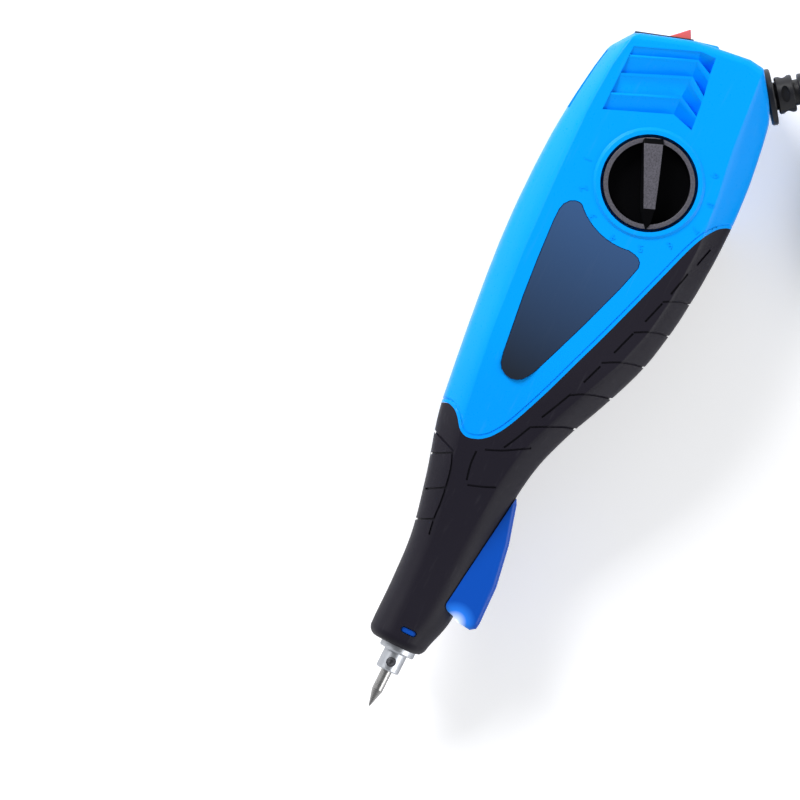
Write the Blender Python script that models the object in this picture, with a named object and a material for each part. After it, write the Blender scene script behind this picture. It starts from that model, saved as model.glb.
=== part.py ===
"""Electric engraving pen, lying on its right side.

The pen is drawn in its own axes and then laid down by an empty: X runs from the
point of the tip to the rear, Y from the palm side to the finger side, and Z out of
the left side, which carries the stroke dial. Z = 0 is the seam between the shells.
"""

import math

import bmesh
import bpy
import numpy as np
from mathutils import Matrix, Vector
from mathutils.geometry import interpolate_bezier

# Driving sizes of the outside
LENGTH = 0.1884
DEPTH = 0.0516
HALF_THICK = 0.019
WALL = 0.0022
GRIP_THICK = 0.0016
GAP = 0.0003
OVERRUN = 0.004
REAR_ROUND = 0.0022
NOSE_ROUND = 0.0024

# Engraving train, from the tip to the magnet
AXIS_Y = 0.00085
TIP_R = 0.0014
TIP_CONE = 0.0045
TIP_FLAT_R = 0.0002
CHUCK_SUNK = 0.0006
CHUCK_R = 0.00305
CHUCK_COLLAR = 0.0052
CHUCK_FLANGE = 0.0020
CHUCK_FLANGE_R = 0.00465
CHUCK_STEM = 0.0028
CHUCK_STEM_R = 0.0034
SET_SCREW_R = 0.0011
SET_SCREW_LONG = 0.0014
SET_SCREW_BACK = 0.0024
SHAFT_R = 0.0025
BUSH_BACK = 0.0026
BUSH_LONG = 0.0074
BUSH_R = 0.0038
BUSH_FLANGE = 0.0012
BUSH_FLANGE_R = 0.0043
SPRING_LONG = 0.0165
SPRING_R = 0.0034
SPRING_WIRE_R = 0.0004
SPRING_TURNS = 7
SHAFT_COLLAR = 0.0022
SHAFT_COLLAR_R = 0.0042
MOUTH_DEPTH = 0.0014
STROKE = 0.0012

# Electromagnet
MAGNET_X_SHARE = 0.499
YOKE_LONG = 0.038
YOKE_PLATE = 0.0032
YOKE_HALF = 0.0118
YOKE_STRAP = 0.0020
YOKE_HALF_WIDE = 0.011
BOBBIN_FLANGE = 0.0020
BOBBIN_FLANGE_R = 0.0112
BOBBIN_TUBE_R = 0.0066
WINDING_R = 0.0107
POLE_LONG = 0.0040
POLE_SPIGOT_R = 0.0037
PLUNGER_R = 0.0050
AIR_GAP = 0.0025
RUNNING_GAP = 0.0004
PLUNGER_TAIL = 0.0020
TAIL_SPIGOT_R = 0.0017
TAIL_SPIGOT = 0.0030
BUFFER_SPRING_R = 0.0028
BUFFER_LONG = 0.0057
BUFFER_TURNS = 4
SPRING_STEPS = 12

# Stroke dial, its scroll cam and the follower
DIAL_Y_SHARE = -0.066
DIAL_R = 0.0115
DIAL_RIM = 0.0010
DIAL_THICK = 0.0058
DIAL_PROUD = 0.0005
DIAL_GAP = 0.0008
DIAL_FLOOR = 0.0018
DIAL_DISH_DEPTH = 0.0038
BAR_ANGLE = math.radians(28)
BAR_HALF_THIN = 0.00145
BAR_HALF_WIDE = 0.0024
BAR_PROUD = 0.0010
BOSS_RING_R = 0.0141
BOSS_RING_HIGH = 0.0006
STEM_R = 0.0040
CAM_R = 0.0094
CAM_THICK = 0.0030
CAM_GROOVE_DEPTH = 0.0019
CAM_PIN_R = 0.0010
CAM_RISE = 0.0006
CAM_REST_R = 0.0058
DIAL_BACK = math.radians(-105)
DIAL_ON = math.radians(131)
CAM_SCREW_R = 0.0015
CAM_SCREW_HEAD_R = 0.0024
CAM_SCREW_HEAD = 0.0018
CAM_SCREW_LONG = 0.0042
CAM_SIDES = 24
FOLLOWER_LONG = 0.0058
FOLLOWER_HALF = 0.0034
FOLLOWER_FOOT = 0.0040
GUIDE_WALL = 0.0018

# Rocker switch
SWITCH_BOSS_HALF = 0.0154
SWITCH_TILT = math.radians(18.2)
SWITCH_X_SHARE = 0.979
SWITCH_Y_SHARE = 0.186
BEZEL_HALF_LONG = 0.0075
BEZEL_HALF_WIDE = 0.0053
BEZEL_HIGH = 0.0010
SWITCH_HALF_LONG = 0.0066
SWITCH_HALF_WIDE = 0.0044
SWITCH_DEEP = 0.0110
SWITCH_WALL = 0.0005
ROCKER_HALF_LONG = 0.0055
ROCKER_HALF_WIDE = 0.0036
ROCKER_END_HIGH = 0.0011
ROCKER_MID_HIGH = 0.0003
ROCKER_DEEP = 0.0032
ROCKER_PIVOT_DEEP = 0.0014
ROCKER_PIN_R = 0.0008
ROCKER_REST = math.radians(10)
TAB_LONG = 0.0060
TAB_WIDE = 0.0042
TAB_THICK = 0.0008
TAB_SPACING = 0.0060

# Strain relief, cord jacket and clamp
RELIEF_X_SHARE = 0.9665
RELIEF_Y_SHARE = -0.400
RELIEF_ANGLE = math.radians(-52.7)
RELIEF_FLANGE_R = 0.0072
RELIEF_FLANGE = 0.0020
RELIEF_NECK_R = 0.0037
RELIEF_NECK = 0.0030
RELIEF_INNER_R = 0.0042
RELIEF_INNER = 0.0045
RELIEF_ROOT_R = 0.0047
RELIEF_TIP_R = 0.0038
RELIEF_CORE_R = 0.0034
RELIEF_LONG = 0.0360
RELIEF_RIB = 0.0048
RELIEF_GROOVE = 0.0015
CORD_R = 0.0025
CORD_STEP = 0.0125
JACKET_INSIDE = 0.0110
CLAMP_BACK = 0.0075
CLAMP_HALF = 0.0078
CLAMP_WIDE = 0.0050
CLAMP_THICK = 0.0022
CLAMP_SCREW_OUT = 0.0054
CLAMP_SCREW_R = 0.0012
CLAMP_SCREW_HEAD_R = 0.0022
CLAMP_SCREW_HEAD = 0.0014
CLAMP_SCREW_LONG = 0.0080
CLAMP_POST_R = 0.0024

# Lamp under the nose
LAMP_X_SHARE = 0.153
LAMP_Y_SHARE = -0.190
LAMP_ANGLE = math.radians(168)
LAMP_R = 0.0018
LAMP_RIM_R = 0.0022
LAMP_RIM = 0.0010
LAMP_LONG = 0.0053
LAMP_SOCKET = 0.0090
LAMP_BOARD = 0.0010
HOOD_HALF = 0.0062
LEAD_R = 0.0006
LEAD_HOLE_R = 0.0012
LEAD_END_SHARE = 0.6
LEAD_STEP = 0.0030

# Shell screws, from the right side
SCREW_R = 0.0015
SCREW_HEAD_R = 0.0029
SCREW_HEAD = 0.0020
SCREW_SEAT = 0.0030
SCREW_UP = 0.0080
BOSS_R = 0.0033

# Label, grooves and openings of the shell
PLATE_THICK = 0.0007
PLATE_SUNK = 0.0001
PLATE_ARC_R = 0.0177
PLATE_ARC_TOP = math.radians(133)
PLATE_ARC_FOOT = math.radians(198)
PLATE_ARC_STEPS = 7
VENT_DEEP = 0.0014
VENT_SLOT = 0.0016
VENT_SLOTS = 3
VENT_FIRST_SHARE = 0.6
VENT_START_SHARE = 0.08
VENT_END_SHARE = 0.80
SLOT_HALF = 0.0013
SLOT_DEEP = 0.0014
RIB_THICK = 0.0016
RIB_REACH = 0.0060

# Cord away from the pen, and its plug
COIL_START = math.radians(-90)
COIL_X = 0.1775
COIL_Y = -0.0835
COIL_INNER = 0.0200
COIL_LOOPS = 7
COIL_STEPS = 24
COIL_STEP = 0.0056
COIL_CLIMB = 0.0055
TIE_ANGLE = math.radians(200)
TIE_THICK = 0.0005
TIE_WIDE = 0.0050
TIE_ROOM = 0.0007
PLUG_X = 0.0900
PLUG_LONG = 0.0300
PLUG_WIDE = 0.0250
PLUG_THICK = 0.0150
PLUG_TAIL = 0.0120
PLUG_TAIL_R = 0.0042
PLUG_ASIDE = 0.0086
PIN_LONG = 0.0175
PIN_WIDE = 0.0063
PIN_THICK = 0.0015
PIN_SPACING = 0.0127

# Sections of the body: round at the nose, boxy from the grip back
SIDE_STEPS = 3
CORNER_STEPS = 4
HOLLOW_STEPS = 3
REAR_PASSES = 8
CREASE_MOST_SHARE = 0.85
ROUND_UNTIL_SHARE = 0.16
BOXY_FROM_SHARE = 0.36
BOXY_RISE_SHARE = 0.18
BOXY_OUT_SHARE = 0.25
REAR_LEAN_SHARE = 0.5
EDGE_TURN_SHARES = (0.0, 0.4, 0.75)

# Sides of the round pieces, by size, and steps of the curves
LARGE_SIDES = 32
PLAIN_SIDES = 20
RUBBER_SIDES = 16
SMALL_SIDES = 12
CURVE_STEPS = 24

CORD_NODES = (
    "cord_run", "cord_coil", "cord_tail", "cord_tie", "plug_body",
    "plug_pin_1", "plug_pin_2",
)

# The cord's own route from the strain relief down to its coil, heights over the floor
CORD_ROUTE = [
    (0.2155, -0.0650, 0.0175), (0.2213, -0.0775, 0.0135), (0.2236, -0.0910, 0.0085),
    (0.2175, -0.1085, 0.0042), (0.2035, -0.1210, 0.0027), (0.1915, -0.1235, 0.0025),
]

# Outlines of the side view. A point is a share of LENGTH and a share of DEPTH.
TOP_SHARES = [
    (0.088, 0.186), (0.106, 0.190), (0.159, 0.190), (0.212, 0.200), (0.265, 0.231),
    (0.318, 0.275), (0.372, 0.333), (0.403, 0.360), (0.451, 0.382), (0.531, 0.421),
    (0.584, 0.442), (0.637, 0.459), (0.690, 0.469), (0.743, 0.471), (0.796, 0.467),
    (0.849, 0.452), (0.902, 0.426), (0.945, 0.393), (1.008, 0.339),
]
BOTTOM_SHARES = [
    (0.088, -0.107), (0.106, -0.109), (0.133, -0.143), (0.159, -0.159), (0.212, -0.163),
    (0.292, -0.165), (0.345, -0.174), (0.372, -0.188), (0.398, -0.209), (0.425, -0.242),
    (0.451, -0.277), (0.478, -0.322), (0.504, -0.362), (0.531, -0.401), (0.557, -0.436),
    (0.584, -0.463), (0.637, -0.498), (0.690, -0.517), (0.743, -0.527), (0.796, -0.527),
    (0.849, -0.514), (0.902, -0.486), (0.955, -0.450), (1.008, -0.407),
]
TOP_CREASE_SHARES = [
    (0.088, 0.041), (0.159, 0.050), (0.265, 0.107), (0.403, 0.238), (0.451, 0.266),
    (0.531, 0.306), (0.637, 0.339), (0.743, 0.357), (0.849, 0.366), (0.934, 0.350),
    (1.008, 0.291),
]
BOTTOM_CREASE_SHARES = [
    (0.088, 0.041), (0.159, -0.008), (0.265, -0.043), (0.345, -0.070), (0.398, -0.101),
    (0.451, -0.171), (0.504, -0.252), (0.557, -0.335), (0.610, -0.391), (0.663, -0.419),
    (0.743, -0.426), (0.807, -0.405), (0.876, -0.364), (0.955, -0.337), (1.008, -0.310),
]
# Half thickness along the pen, as a share of HALF_THICK
THICK_SHARES = [
    (0.088, 0.397), (0.117, 0.405), (0.159, 0.421), (0.212, 0.458), (0.265, 0.521),
    (0.318, 0.621), (0.372, 0.737), (0.425, 0.853), (0.467, 0.937), (0.499, 0.979),
    (0.531, 1.000), (1.008, 1.000),
]
REAR_SHARES = [
    (0.921, -0.540), (0.936, -0.484), (0.996, -0.316), (1.000, -0.277), (0.993, -0.085),
    (0.988, 0.048), (0.963, 0.324), (0.945, 0.376), (0.937, 0.426), (0.930, 0.500),
]
STATION_SHARES = [
    0.101, 0.159, 0.225, 0.291, 0.345, 0.398, 0.451, 0.504, 0.557, 0.637, 0.743, 0.849,
]
SEAM_SHARES = [
    (0.407, 0.480), (0.408, 0.362), (0.410, 0.329), (0.406, 0.291), (0.398, 0.262),
    (0.387, 0.233), (0.382, 0.203), (0.381, 0.174), (0.383, 0.141), (0.387, 0.107),
    (0.398, 0.064), (0.425, 0.008), (0.478, -0.070), (0.531, -0.136), (0.584, -0.205),
    (0.637, -0.271), (0.690, -0.331), (0.743, -0.395), (0.772, -0.452), (0.782, -0.496),
    (0.786, -0.600), (0.040, -0.600), (0.040, 0.480),
]
# The name plate without its concave end
PLATE_SHARES = [
    (0.689, -0.200), (0.679, -0.200), (0.637, -0.153), (0.584, -0.089), (0.531, -0.019),
    (0.488, 0.058), (0.478, 0.064), (0.465, 0.085), (0.460, 0.128), (0.465, 0.172),
    (0.478, 0.194), (0.494, 0.198), (0.584, 0.238), (0.637, 0.256), (0.690, 0.267),
    (0.711, 0.267), (0.721, 0.250),
]
VENT_SHARES = [
    (0.856, 0.279), (0.861, 0.300), (0.935, 0.300), (0.966, -0.023), (0.962, -0.095),
    (0.881, -0.140), (0.878, -0.124), (0.888, -0.023),
]
HOOD_SHARES = [
    (0.167, -0.080), (0.162, -0.120), (0.153, -0.203), (0.152, -0.256), (0.157, -0.283),
    (0.165, -0.287), (0.218, -0.281), (0.276, -0.244), (0.329, -0.190), (0.350, -0.150),
    (0.330, -0.080),
]
TOP_SLOT_SHARES = [(0.817, 0.459), (0.929, 0.409)]
SWITCH_BOSS_SHARES = [
    (0.950, 0.324), (0.966, 0.324), (0.991, 0.048), (0.996, -0.082), (0.970, -0.082),
]
SCREW_SHARES = [
    (0.361, 0.184), (0.456, -0.174), (0.748, 0.320), (0.717, -0.388), (0.860, 0.345),
    (0.865, -0.385),
]


def clear_scene():
    for old in list(bpy.data.objects):
        bpy.data.objects.remove(old)


def material(name, colour, roughness, metallic=0.0):
    """One finish as a Principled BSDF. The colour is linear red, green, blue."""
    made = bpy.data.materials.get(name) or bpy.data.materials.new(name)
    made.use_nodes = True
    shader = made.node_tree.nodes["Principled BSDF"]
    shader.inputs["Base Color"].default_value = (*colour, 1.0)
    shader.inputs["Roughness"].default_value = roughness
    shader.inputs["Metallic"].default_value = metallic
    return made


def blue_shell():
    return material("blue_shell", (0.002, 0.330, 1.000), 0.32)


def black_grip():
    return material("black_grip", (0.013, 0.011, 0.019), 0.62)


def dial_black():
    return material("dial_black", (0.022, 0.026, 0.040), 0.34)


def label_gloss():
    return material("label_gloss", (0.024, 0.040, 0.075), 0.14)


def aluminium():
    return material("aluminium", (0.55, 0.57, 0.60), 0.30, 1.0)


def bright_steel():
    return material("bright_steel", (0.50, 0.49, 0.48), 0.26, 1.0)


def magnet_iron():
    return material("magnet_iron", (0.30, 0.30, 0.32), 0.42, 1.0)


def copper_wire():
    return material("copper_wire", (0.62, 0.22, 0.08), 0.38, 1.0)


def bobbin_nylon():
    return material("bobbin_nylon", (0.80, 0.78, 0.70), 0.45)


def bronze():
    return material("bronze", (0.48, 0.30, 0.12), 0.38, 1.0)


def red_rocker():
    return material("red_rocker", (0.62, 0.02, 0.02), 0.30)


def switch_black():
    return material("switch_black", (0.012, 0.012, 0.014), 0.40)


def brass():
    return material("brass", (0.72, 0.52, 0.18), 0.30, 1.0)


def cord_black():
    return material("cord_black", (0.020, 0.020, 0.024), 0.50)


def lamp_clear():
    return material("lamp_clear", (0.85, 0.90, 0.95), 0.10)


def board_green():
    return material("board_green", (0.02, 0.16, 0.06), 0.45)


def lead_red():
    return material("lead_red", (0.50, 0.02, 0.02), 0.45)


def lead_blue():
    return material("lead_blue", (0.02, 0.06, 0.45), 0.45)


def own(name, bm):
    """Turns a bmesh into an object with outward faces."""
    bmesh.ops.recalc_face_normals(bm, faces=bm.faces)
    mesh = bpy.data.meshes.new(name)
    bm.to_mesh(mesh)
    bm.free()
    made = bpy.data.objects.new(name, mesh)
    bpy.context.collection.objects.link(made)
    return made


def combine(target, tools, how="DIFFERENCE"):
    """Cuts each tool from the target, or joins it on, and removes the tool."""
    for tool in tools:
        step = target.modifiers.new(how.title(), "BOOLEAN")
        step.operation = how
        step.solver = "EXACT"
        step.object = tool
        graph = bpy.context.evaluated_depsgraph_get()
        done = bpy.data.meshes.new_from_object(target.evaluated_get(graph))
        target.modifiers.clear()
        target.data = done
        bpy.data.objects.remove(tool)
    return target


def prism(name, outline, low, high):
    """An outline in X and Y, extruded from one height to another."""
    bm = bmesh.new()
    face = bm.faces.new([bm.verts.new((x, y, low)) for x, y in outline])
    grown = bmesh.ops.extrude_face_region(bm, geom=[face])
    risen = [v for v in grown["geom"] if isinstance(v, bmesh.types.BMVert)]
    bmesh.ops.translate(bm, verts=risen, vec=(0, 0, high - low))
    return own(name, bm)


def block(name, low, high):
    """A box between two corners."""
    ends = [(low[0], low[1]), (high[0], low[1]), (high[0], high[1]), (low[0], high[1])]
    return prism(name, ends, low[2], high[2])


def turned(name, profile, sides=PLAIN_SIDES, bore=0.0):
    """A solid turned about X. The profile is a list of (x, radius), front to rear."""
    bm = bmesh.new()
    outline = [(profile[0][0], bore), *profile, (profile[-1][0], bore)] if bore else profile
    rings = []
    for x, r in outline:
        turn = [2 * math.pi * (i + 0.5) / sides for i in range(sides if r else 1)]
        rings.append([bm.verts.new((x, r * math.cos(a), r * math.sin(a))) for a in turn])
    if bore:
        rings.append(rings[0])
    for one, two in zip(rings, rings[1:]):
        for i in range(sides):
            j = (i + 1) % sides
            ring = [one[i % len(one)], one[j % len(one)], two[j % len(two)], two[i % len(two)]]
            bm.faces.new(list(dict.fromkeys(ring)))
    for ring in (rings[0], rings[-1]):
        if not bore and len(ring) > 1:
            bm.faces.new(ring)
    return own(name, bm)


def pushed(made, move=(0, 0, 0), spin=0.0, about="Z"):
    """Turns a mesh about its own origin and then moves it."""
    made.data.transform(Matrix.Translation(move) @ Matrix.Rotation(spin, 4, about))
    return made


def upright(made, move=(0, 0, 0)):
    """Stands a piece turned about X on its Z axis, front end down."""
    made.data.transform(Matrix.Translation(move) @ Matrix.Rotation(-math.pi / 2, 4, "Y"))
    return made


def post(name, radius, low, high, x, y, sides=SMALL_SIDES):
    """A round post or hole along Z."""
    return upright(turned(name, [(low, radius), (high, radius)], sides), (x, y, 0))


def grown_outline(outline, by):
    """The outline with each side moved out by the same distance."""
    area = sum(a[0] * b[1] - b[0] * a[1] for a, b in zip(outline, outline[1:] + outline[:1]))
    side = math.copysign(by, area)
    moved = []
    for i, here in enumerate(outline):
        before = Vector(here) - Vector(outline[i - 1])
        after = Vector(outline[(i + 1) % len(outline)]) - Vector(here)
        one = Vector((before.y, -before.x)).normalized()
        two = Vector((after.y, -after.x)).normalized()
        corner = one + two
        moved.append(tuple(Vector(here) + corner * side * 2 / corner.length_squared))
    return moved


def outline_of(shares):
    return [(x * LENGTH, y * DEPTH) for x, y in shares]


def along(shares, x, size):
    """Reads a table of shares at one place along the pen."""
    places = [s[0] * LENGTH for s in shares]
    return float(np.interp(x, places, [s[1] * size for s in shares]))


def rear_x(y):
    """Where the rear face stands at one height."""
    heights = [s[1] * DEPTH for s in REAR_SHARES]
    return float(np.interp(y, heights, [s[0] * LENGTH for s in REAR_SHARES]))


def creases(x, inset):
    """The top and bottom edges of the section, and the creases of its flat side."""
    top = along(TOP_SHARES, x, DEPTH) - inset
    bottom = along(BOTTOM_SHARES, x, DEPTH) + inset
    upper = min(along(TOP_CREASE_SHARES, x, DEPTH), top * CREASE_MOST_SHARE)
    lower = max(along(BOTTOM_CREASE_SHARES, x, DEPTH), bottom * CREASE_MOST_SHARE)
    return top, upper, lower, bottom


def section_point(x, turn, inset):
    """One point of the section: the turn runs from 1 at the top to 0 at the upper
    crease, down the flat side to -1 at the lower crease, and on to -2 at the bottom."""
    top, upper, lower, bottom = creases(x, inset)
    half = along(THICK_SHARES, x, HALF_THICK) - inset
    if -1 <= turn <= 0:
        return upper + (lower - upper) * -turn, half
    edge, crease, part = (top, upper, turn) if turn > 0 else (bottom, lower, -1 - turn)
    boxy = (x - ROUND_UNTIL_SHARE * LENGTH) / ((BOXY_FROM_SHARE - ROUND_UNTIL_SHARE) * LENGTH)
    boxy = min(max(boxy, 0.0), 1.0)
    rise = math.sin(math.pi / 2 * part) ** (1 / (1 - BOXY_RISE_SHARE * boxy))
    out = math.cos(math.pi / 2 * part) ** (1 / (1 + BOXY_OUT_SHARE * boxy))
    return crease + (edge - crease) * rise, half * out


def body_ring(place, inset, corner_steps, rear=None):
    """One ring of the body: a flat section, or one that leans with the rear face."""
    turns = list(np.linspace(1, 0, corner_steps + 1))
    turns += list(np.linspace(0, -1, SIDE_STEPS + 1)[1:-1])
    turns += list(np.linspace(-1, -2, corner_steps + 1))
    points = []
    for turn in turns:
        x = place
        for _ in range(REAR_PASSES if rear is not None else 1):
            y, z = section_point(x, turn, inset)
            if rear is not None:
                x = place + (rear_x(y) - rear[1] - place) * rear[0]
        points.append((x, y, z))
    far_side = [(x, y, -z) for x, y, z in points[-2:0:-1]]
    return points + far_side


def nose_end():
    return STATION_SHARES[0] * LENGTH - NOSE_ROUND


def body(name, inset=0.0, corner_steps=CORNER_STEPS):
    """The whole outside of the pen, drawn in by the inset."""
    rings = []
    nose = nose_end() + inset
    for turn in EDGE_TURN_SHARES:
        lean = turn * math.pi / 2
        drawn = NOSE_ROUND * (1 - math.sin(lean))
        ahead = nose + NOSE_ROUND * (1 - math.cos(lean))
        rings.append(body_ring(ahead, inset + drawn, corner_steps))
    stations = [share * LENGTH for share in STATION_SHARES]
    rings += [body_ring(x, inset, corner_steps) for x in stations if x > ahead + inset]
    last = stations[-1]
    rings.append(body_ring(last, inset, corner_steps, (REAR_LEAN_SHARE, inset + REAR_ROUND)))
    for turn in (*EDGE_TURN_SHARES, 1.0):
        lean = turn * math.pi / 2
        drawn = inset + REAR_ROUND * (1 - math.cos(lean))
        behind = inset + REAR_ROUND * (1 - math.sin(lean))
        rings.append(body_ring(last, drawn, corner_steps, (1.0, behind)))
    bm = bmesh.new()
    loops = [[bm.verts.new(p) for p in ring] for ring in rings]
    count = len(loops[0])
    for one, two in zip(loops, loops[1:]):
        for i in range(count):
            j = (i + 1) % count
            bm.faces.new((one[i], one[j], two[j], two[i]))
    for loop in (loops[0], loops[-1]):
        half = count // 2
        for i in range(half):
            ring = [loop[i], loop[i + 1], loop[(count - i - 1) % count], loop[(count - i) % count]]
            bm.faces.new(list(dict.fromkeys(ring)))
    bmesh.ops.triangulate(bm, faces=bm.faces)
    return own(name, bm)


def half_space(side):
    """A block over one side of the seam, clear of it by half a gap."""
    far = HALF_THICK + 2 * OVERRUN
    low, high = (GAP / 2, far) if side > 0 else (-far, -GAP / 2)
    return block("half", (-OVERRUN, -DEPTH, low), (LENGTH + 3 * OVERRUN, DEPTH, high))


def place(made, look, parent, at=(0, 0, 0)):
    """Gives a finished mesh its material, and puts its origin at a point of the pen."""
    made.data.transform(Matrix.Translation(-Vector(at)))
    made.location = at
    made.parent = parent
    made.data.materials.clear()
    made.data.materials.append(look)
    return made


def smooth(made, angle=35):
    made.data.shade_smooth()
    made.data.set_sharp_from_angle(angle=math.radians(angle))
    return made


def dial_centre():
    """The dial stands over the follower, one cam radius behind the follower's pin."""
    return follower_front() + FOLLOWER_LONG / 2 + CAM_REST_R, DIAL_Y_SHARE * DEPTH


def switch_frame():
    """Places a piece drawn with X out of the rear face and Y up along it."""
    centre = (SWITCH_X_SHARE * LENGTH, SWITCH_Y_SHARE * DEPTH, 0)
    return Matrix.Translation(centre) @ Matrix.Rotation(SWITCH_TILT, 4, "Z")


def relief_frame():
    """Places a piece drawn with X out along the cord's way."""
    centre = (RELIEF_X_SHARE * LENGTH, RELIEF_Y_SHARE * DEPTH, 0)
    return Matrix.Translation(centre) @ Matrix.Rotation(RELIEF_ANGLE, 4, "Z")


def lamp_frame():
    """Places a piece drawn with X out of the lamp towards the tip."""
    centre = (LAMP_X_SHARE * LENGTH, LAMP_Y_SHARE * DEPTH, 0)
    return Matrix.Translation(centre) @ Matrix.Rotation(LAMP_ANGLE, 4, "Z")


def framed(made, frame):
    made.data.transform(frame)
    return made


def dial_top():
    return HALF_THICK + DIAL_PROUD


def pocket_floor():
    return dial_top() - DIAL_THICK - GAP


def cam_top():
    return pocket_floor() - DIAL_FLOOR - GAP


def magnet_x():
    return MAGNET_X_SHARE * LENGTH


def screw_places():
    return outline_of(SCREW_SHARES)


def side_at(x):
    """The height of the flat side over the seam."""
    return along(THICK_SHARES, x, HALF_THICK)


def screw_cutters(side, extra=0.0):
    """Holes for the shell screws, with their counterbores on the right side."""
    made = []
    for x, y in screw_places():
        face = side_at(x)
        if side < 0:
            hole = SCREW_R + GAP
            made.append(post("hole", hole, -face - OVERRUN, OVERRUN, x, y))
            head = SCREW_HEAD_R + GAP + extra
            made.append(post("head", head, -face - OVERRUN, -face + SCREW_SEAT, x, y))
        else:
            made.append(post("hole", SCREW_R + GAP, -OVERRUN, SCREW_UP + GAP, x, y))
    return made


def screw_bosses(side):
    """Posts that meet at the seam and hold the shell screws."""
    made = []
    for x, y in screw_places():
        face = side_at(x)
        if side < 0:
            made.append(post("boss", BOSS_R, -face, OVERRUN, x, y))
            wide = BOSS_R + WALL / 2
            made.append(post("boss", wide, -face, -face + SCREW_SEAT + WALL, x, y))
        else:
            made.append(post("boss", BOSS_R, -OVERRUN, face, x, y))
    return made


def cradle(side):
    """Ribs of one shell that hold the magnet's yoke front, rear and at its sides."""
    front = magnet_x() - GAP
    rear = magnet_x() + YOKE_LONG + GAP
    wall = side * HALF_THICK
    pad = side * (YOKE_HALF_WIDE + GAP)
    inner = side * RIB_REACH
    low_y, high_y = AXIS_Y - YOKE_HALF, AXIS_Y + YOKE_HALF
    into = RIB_THICK / 2
    boxes = [
        ((front - RIB_THICK, low_y, inner), (front, high_y, wall)),
        ((rear, low_y, inner), (rear + RIB_THICK, high_y, wall)),
        ((front - into, AXIS_Y - RIB_REACH, pad), (rear + into, AXIS_Y + RIB_REACH, wall)),
    ]
    middle = (front + rear) / 2
    for up in (-1, 1):
        strap = AXIS_Y + up * (YOKE_HALF + YOKE_STRAP + GAP)
        beyond = strap + up * RIB_THICK
        boxes.append(((middle - RIB_REACH, strap, inner), (middle + RIB_REACH, beyond, wall)))
    made = []
    for one, two in boxes:
        low = [min(a, b) for a, b in zip(one, two)]
        high = [max(a, b) for a, b in zip(one, two)]
        made.append(block("rib", low, high))
    return made


def follower_guide():
    """Two rails on the right shell that the follower slides between."""
    x = follower_front()
    made = []
    for up in (-1, 1):
        inner = AXIS_Y + up * (FOLLOWER_HALF + FOLLOWER_FOOT + GAP)
        outer = inner + up * GUIDE_WALL
        low = (x, min(inner, outer), -HALF_THICK)
        made.append(block("rail", low, (x + FOLLOWER_LONG, max(inner, outer), OVERRUN)))
    return made


def vent_cutters(side):
    """The sunk field of the vent, and slots that go through the wall."""
    outline = outline_of(VENT_SHARES)
    face = HALF_THICK
    floor, top = sorted((side * (face - VENT_DEEP), side * (face + OVERRUN)))
    made = [prism("vent", outline, floor, top)]
    left, right = outline[-1], outline[3]
    lead = Vector(outline[1]) - Vector(left)
    through, top = sorted((side * (face - WALL - OVERRUN), side * (face + OVERRUN)))
    for i in range(VENT_SLOTS):
        share = (i + VENT_FIRST_SHARE) / VENT_SLOTS
        foot = Vector(left).lerp(Vector(right), share)
        low = foot + lead * VENT_START_SHARE
        high = foot + lead * VENT_END_SHARE
        step = Vector((VENT_SLOT / 2, 0))
        slot = [tuple(low - step), tuple(low + step), tuple(high + step), tuple(high - step)]
        made.append(prism("slot", slot, through, top))
    return made


def switch_hole(extra):
    """The hole in the rear face for the switch, larger than it by the extra."""
    long, wide = SWITCH_HALF_LONG + extra, SWITCH_HALF_WIDE + extra
    made = block("hole", (-SWITCH_DEEP, -long, -wide), (OVERRUN, long, wide))
    return framed(made, switch_frame())


def relief_hole(radius):
    return framed(turned("hole", [(-2 * OVERRUN, radius), (OVERRUN, radius)]), relief_frame())


def lamp_passage():
    """The two ends of the passage from the lamp's socket to behind the shaft's collar."""
    start = lamp_frame() @ Vector((-LAMP_SOCKET + LAMP_BOARD, 0, 0))
    behind = spring_rear() + SHAFT_COLLAR + STROKE + OVERRUN / 2
    return start, Vector((behind, AXIS_Y - SHAFT_R - LEAD_HOLE_R, 0))


def lamp_lead_hole():
    """The passage from the lamp's socket up into the pen."""
    start, end = lamp_passage()
    long = (end - start).length + 2 * LEAD_HOLE_R
    made = turned("hole", [(0, LEAD_HOLE_R), (long, LEAD_HOLE_R)], SMALL_SIDES)
    lean = math.atan2(end.y - start.y, end.x - start.x)
    return pushed(made, start, lean)


def nose_cutters():
    """The mouth, the bush's bore and the spring's bore, along the pen."""
    mouth = nose_end()
    step = mouth + MOUTH_DEPTH
    spring = bush_front() + BUSH_LONG - GAP
    rear = spring_rear() + SHAFT_COLLAR + STROKE
    profile = [
        (mouth - OVERRUN, CHUCK_FLANGE_R + 2 * RUNNING_GAP),
        (step, CHUCK_FLANGE_R + 2 * RUNNING_GAP),
        (step, BUSH_R + GAP),
        (spring, BUSH_R + GAP),
        (spring, BUSH_FLANGE_R + GAP),
        (rear, BUSH_FLANGE_R + GAP),
    ]
    return pushed(turned("bore", profile), (0, AXIS_Y, 0))


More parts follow.
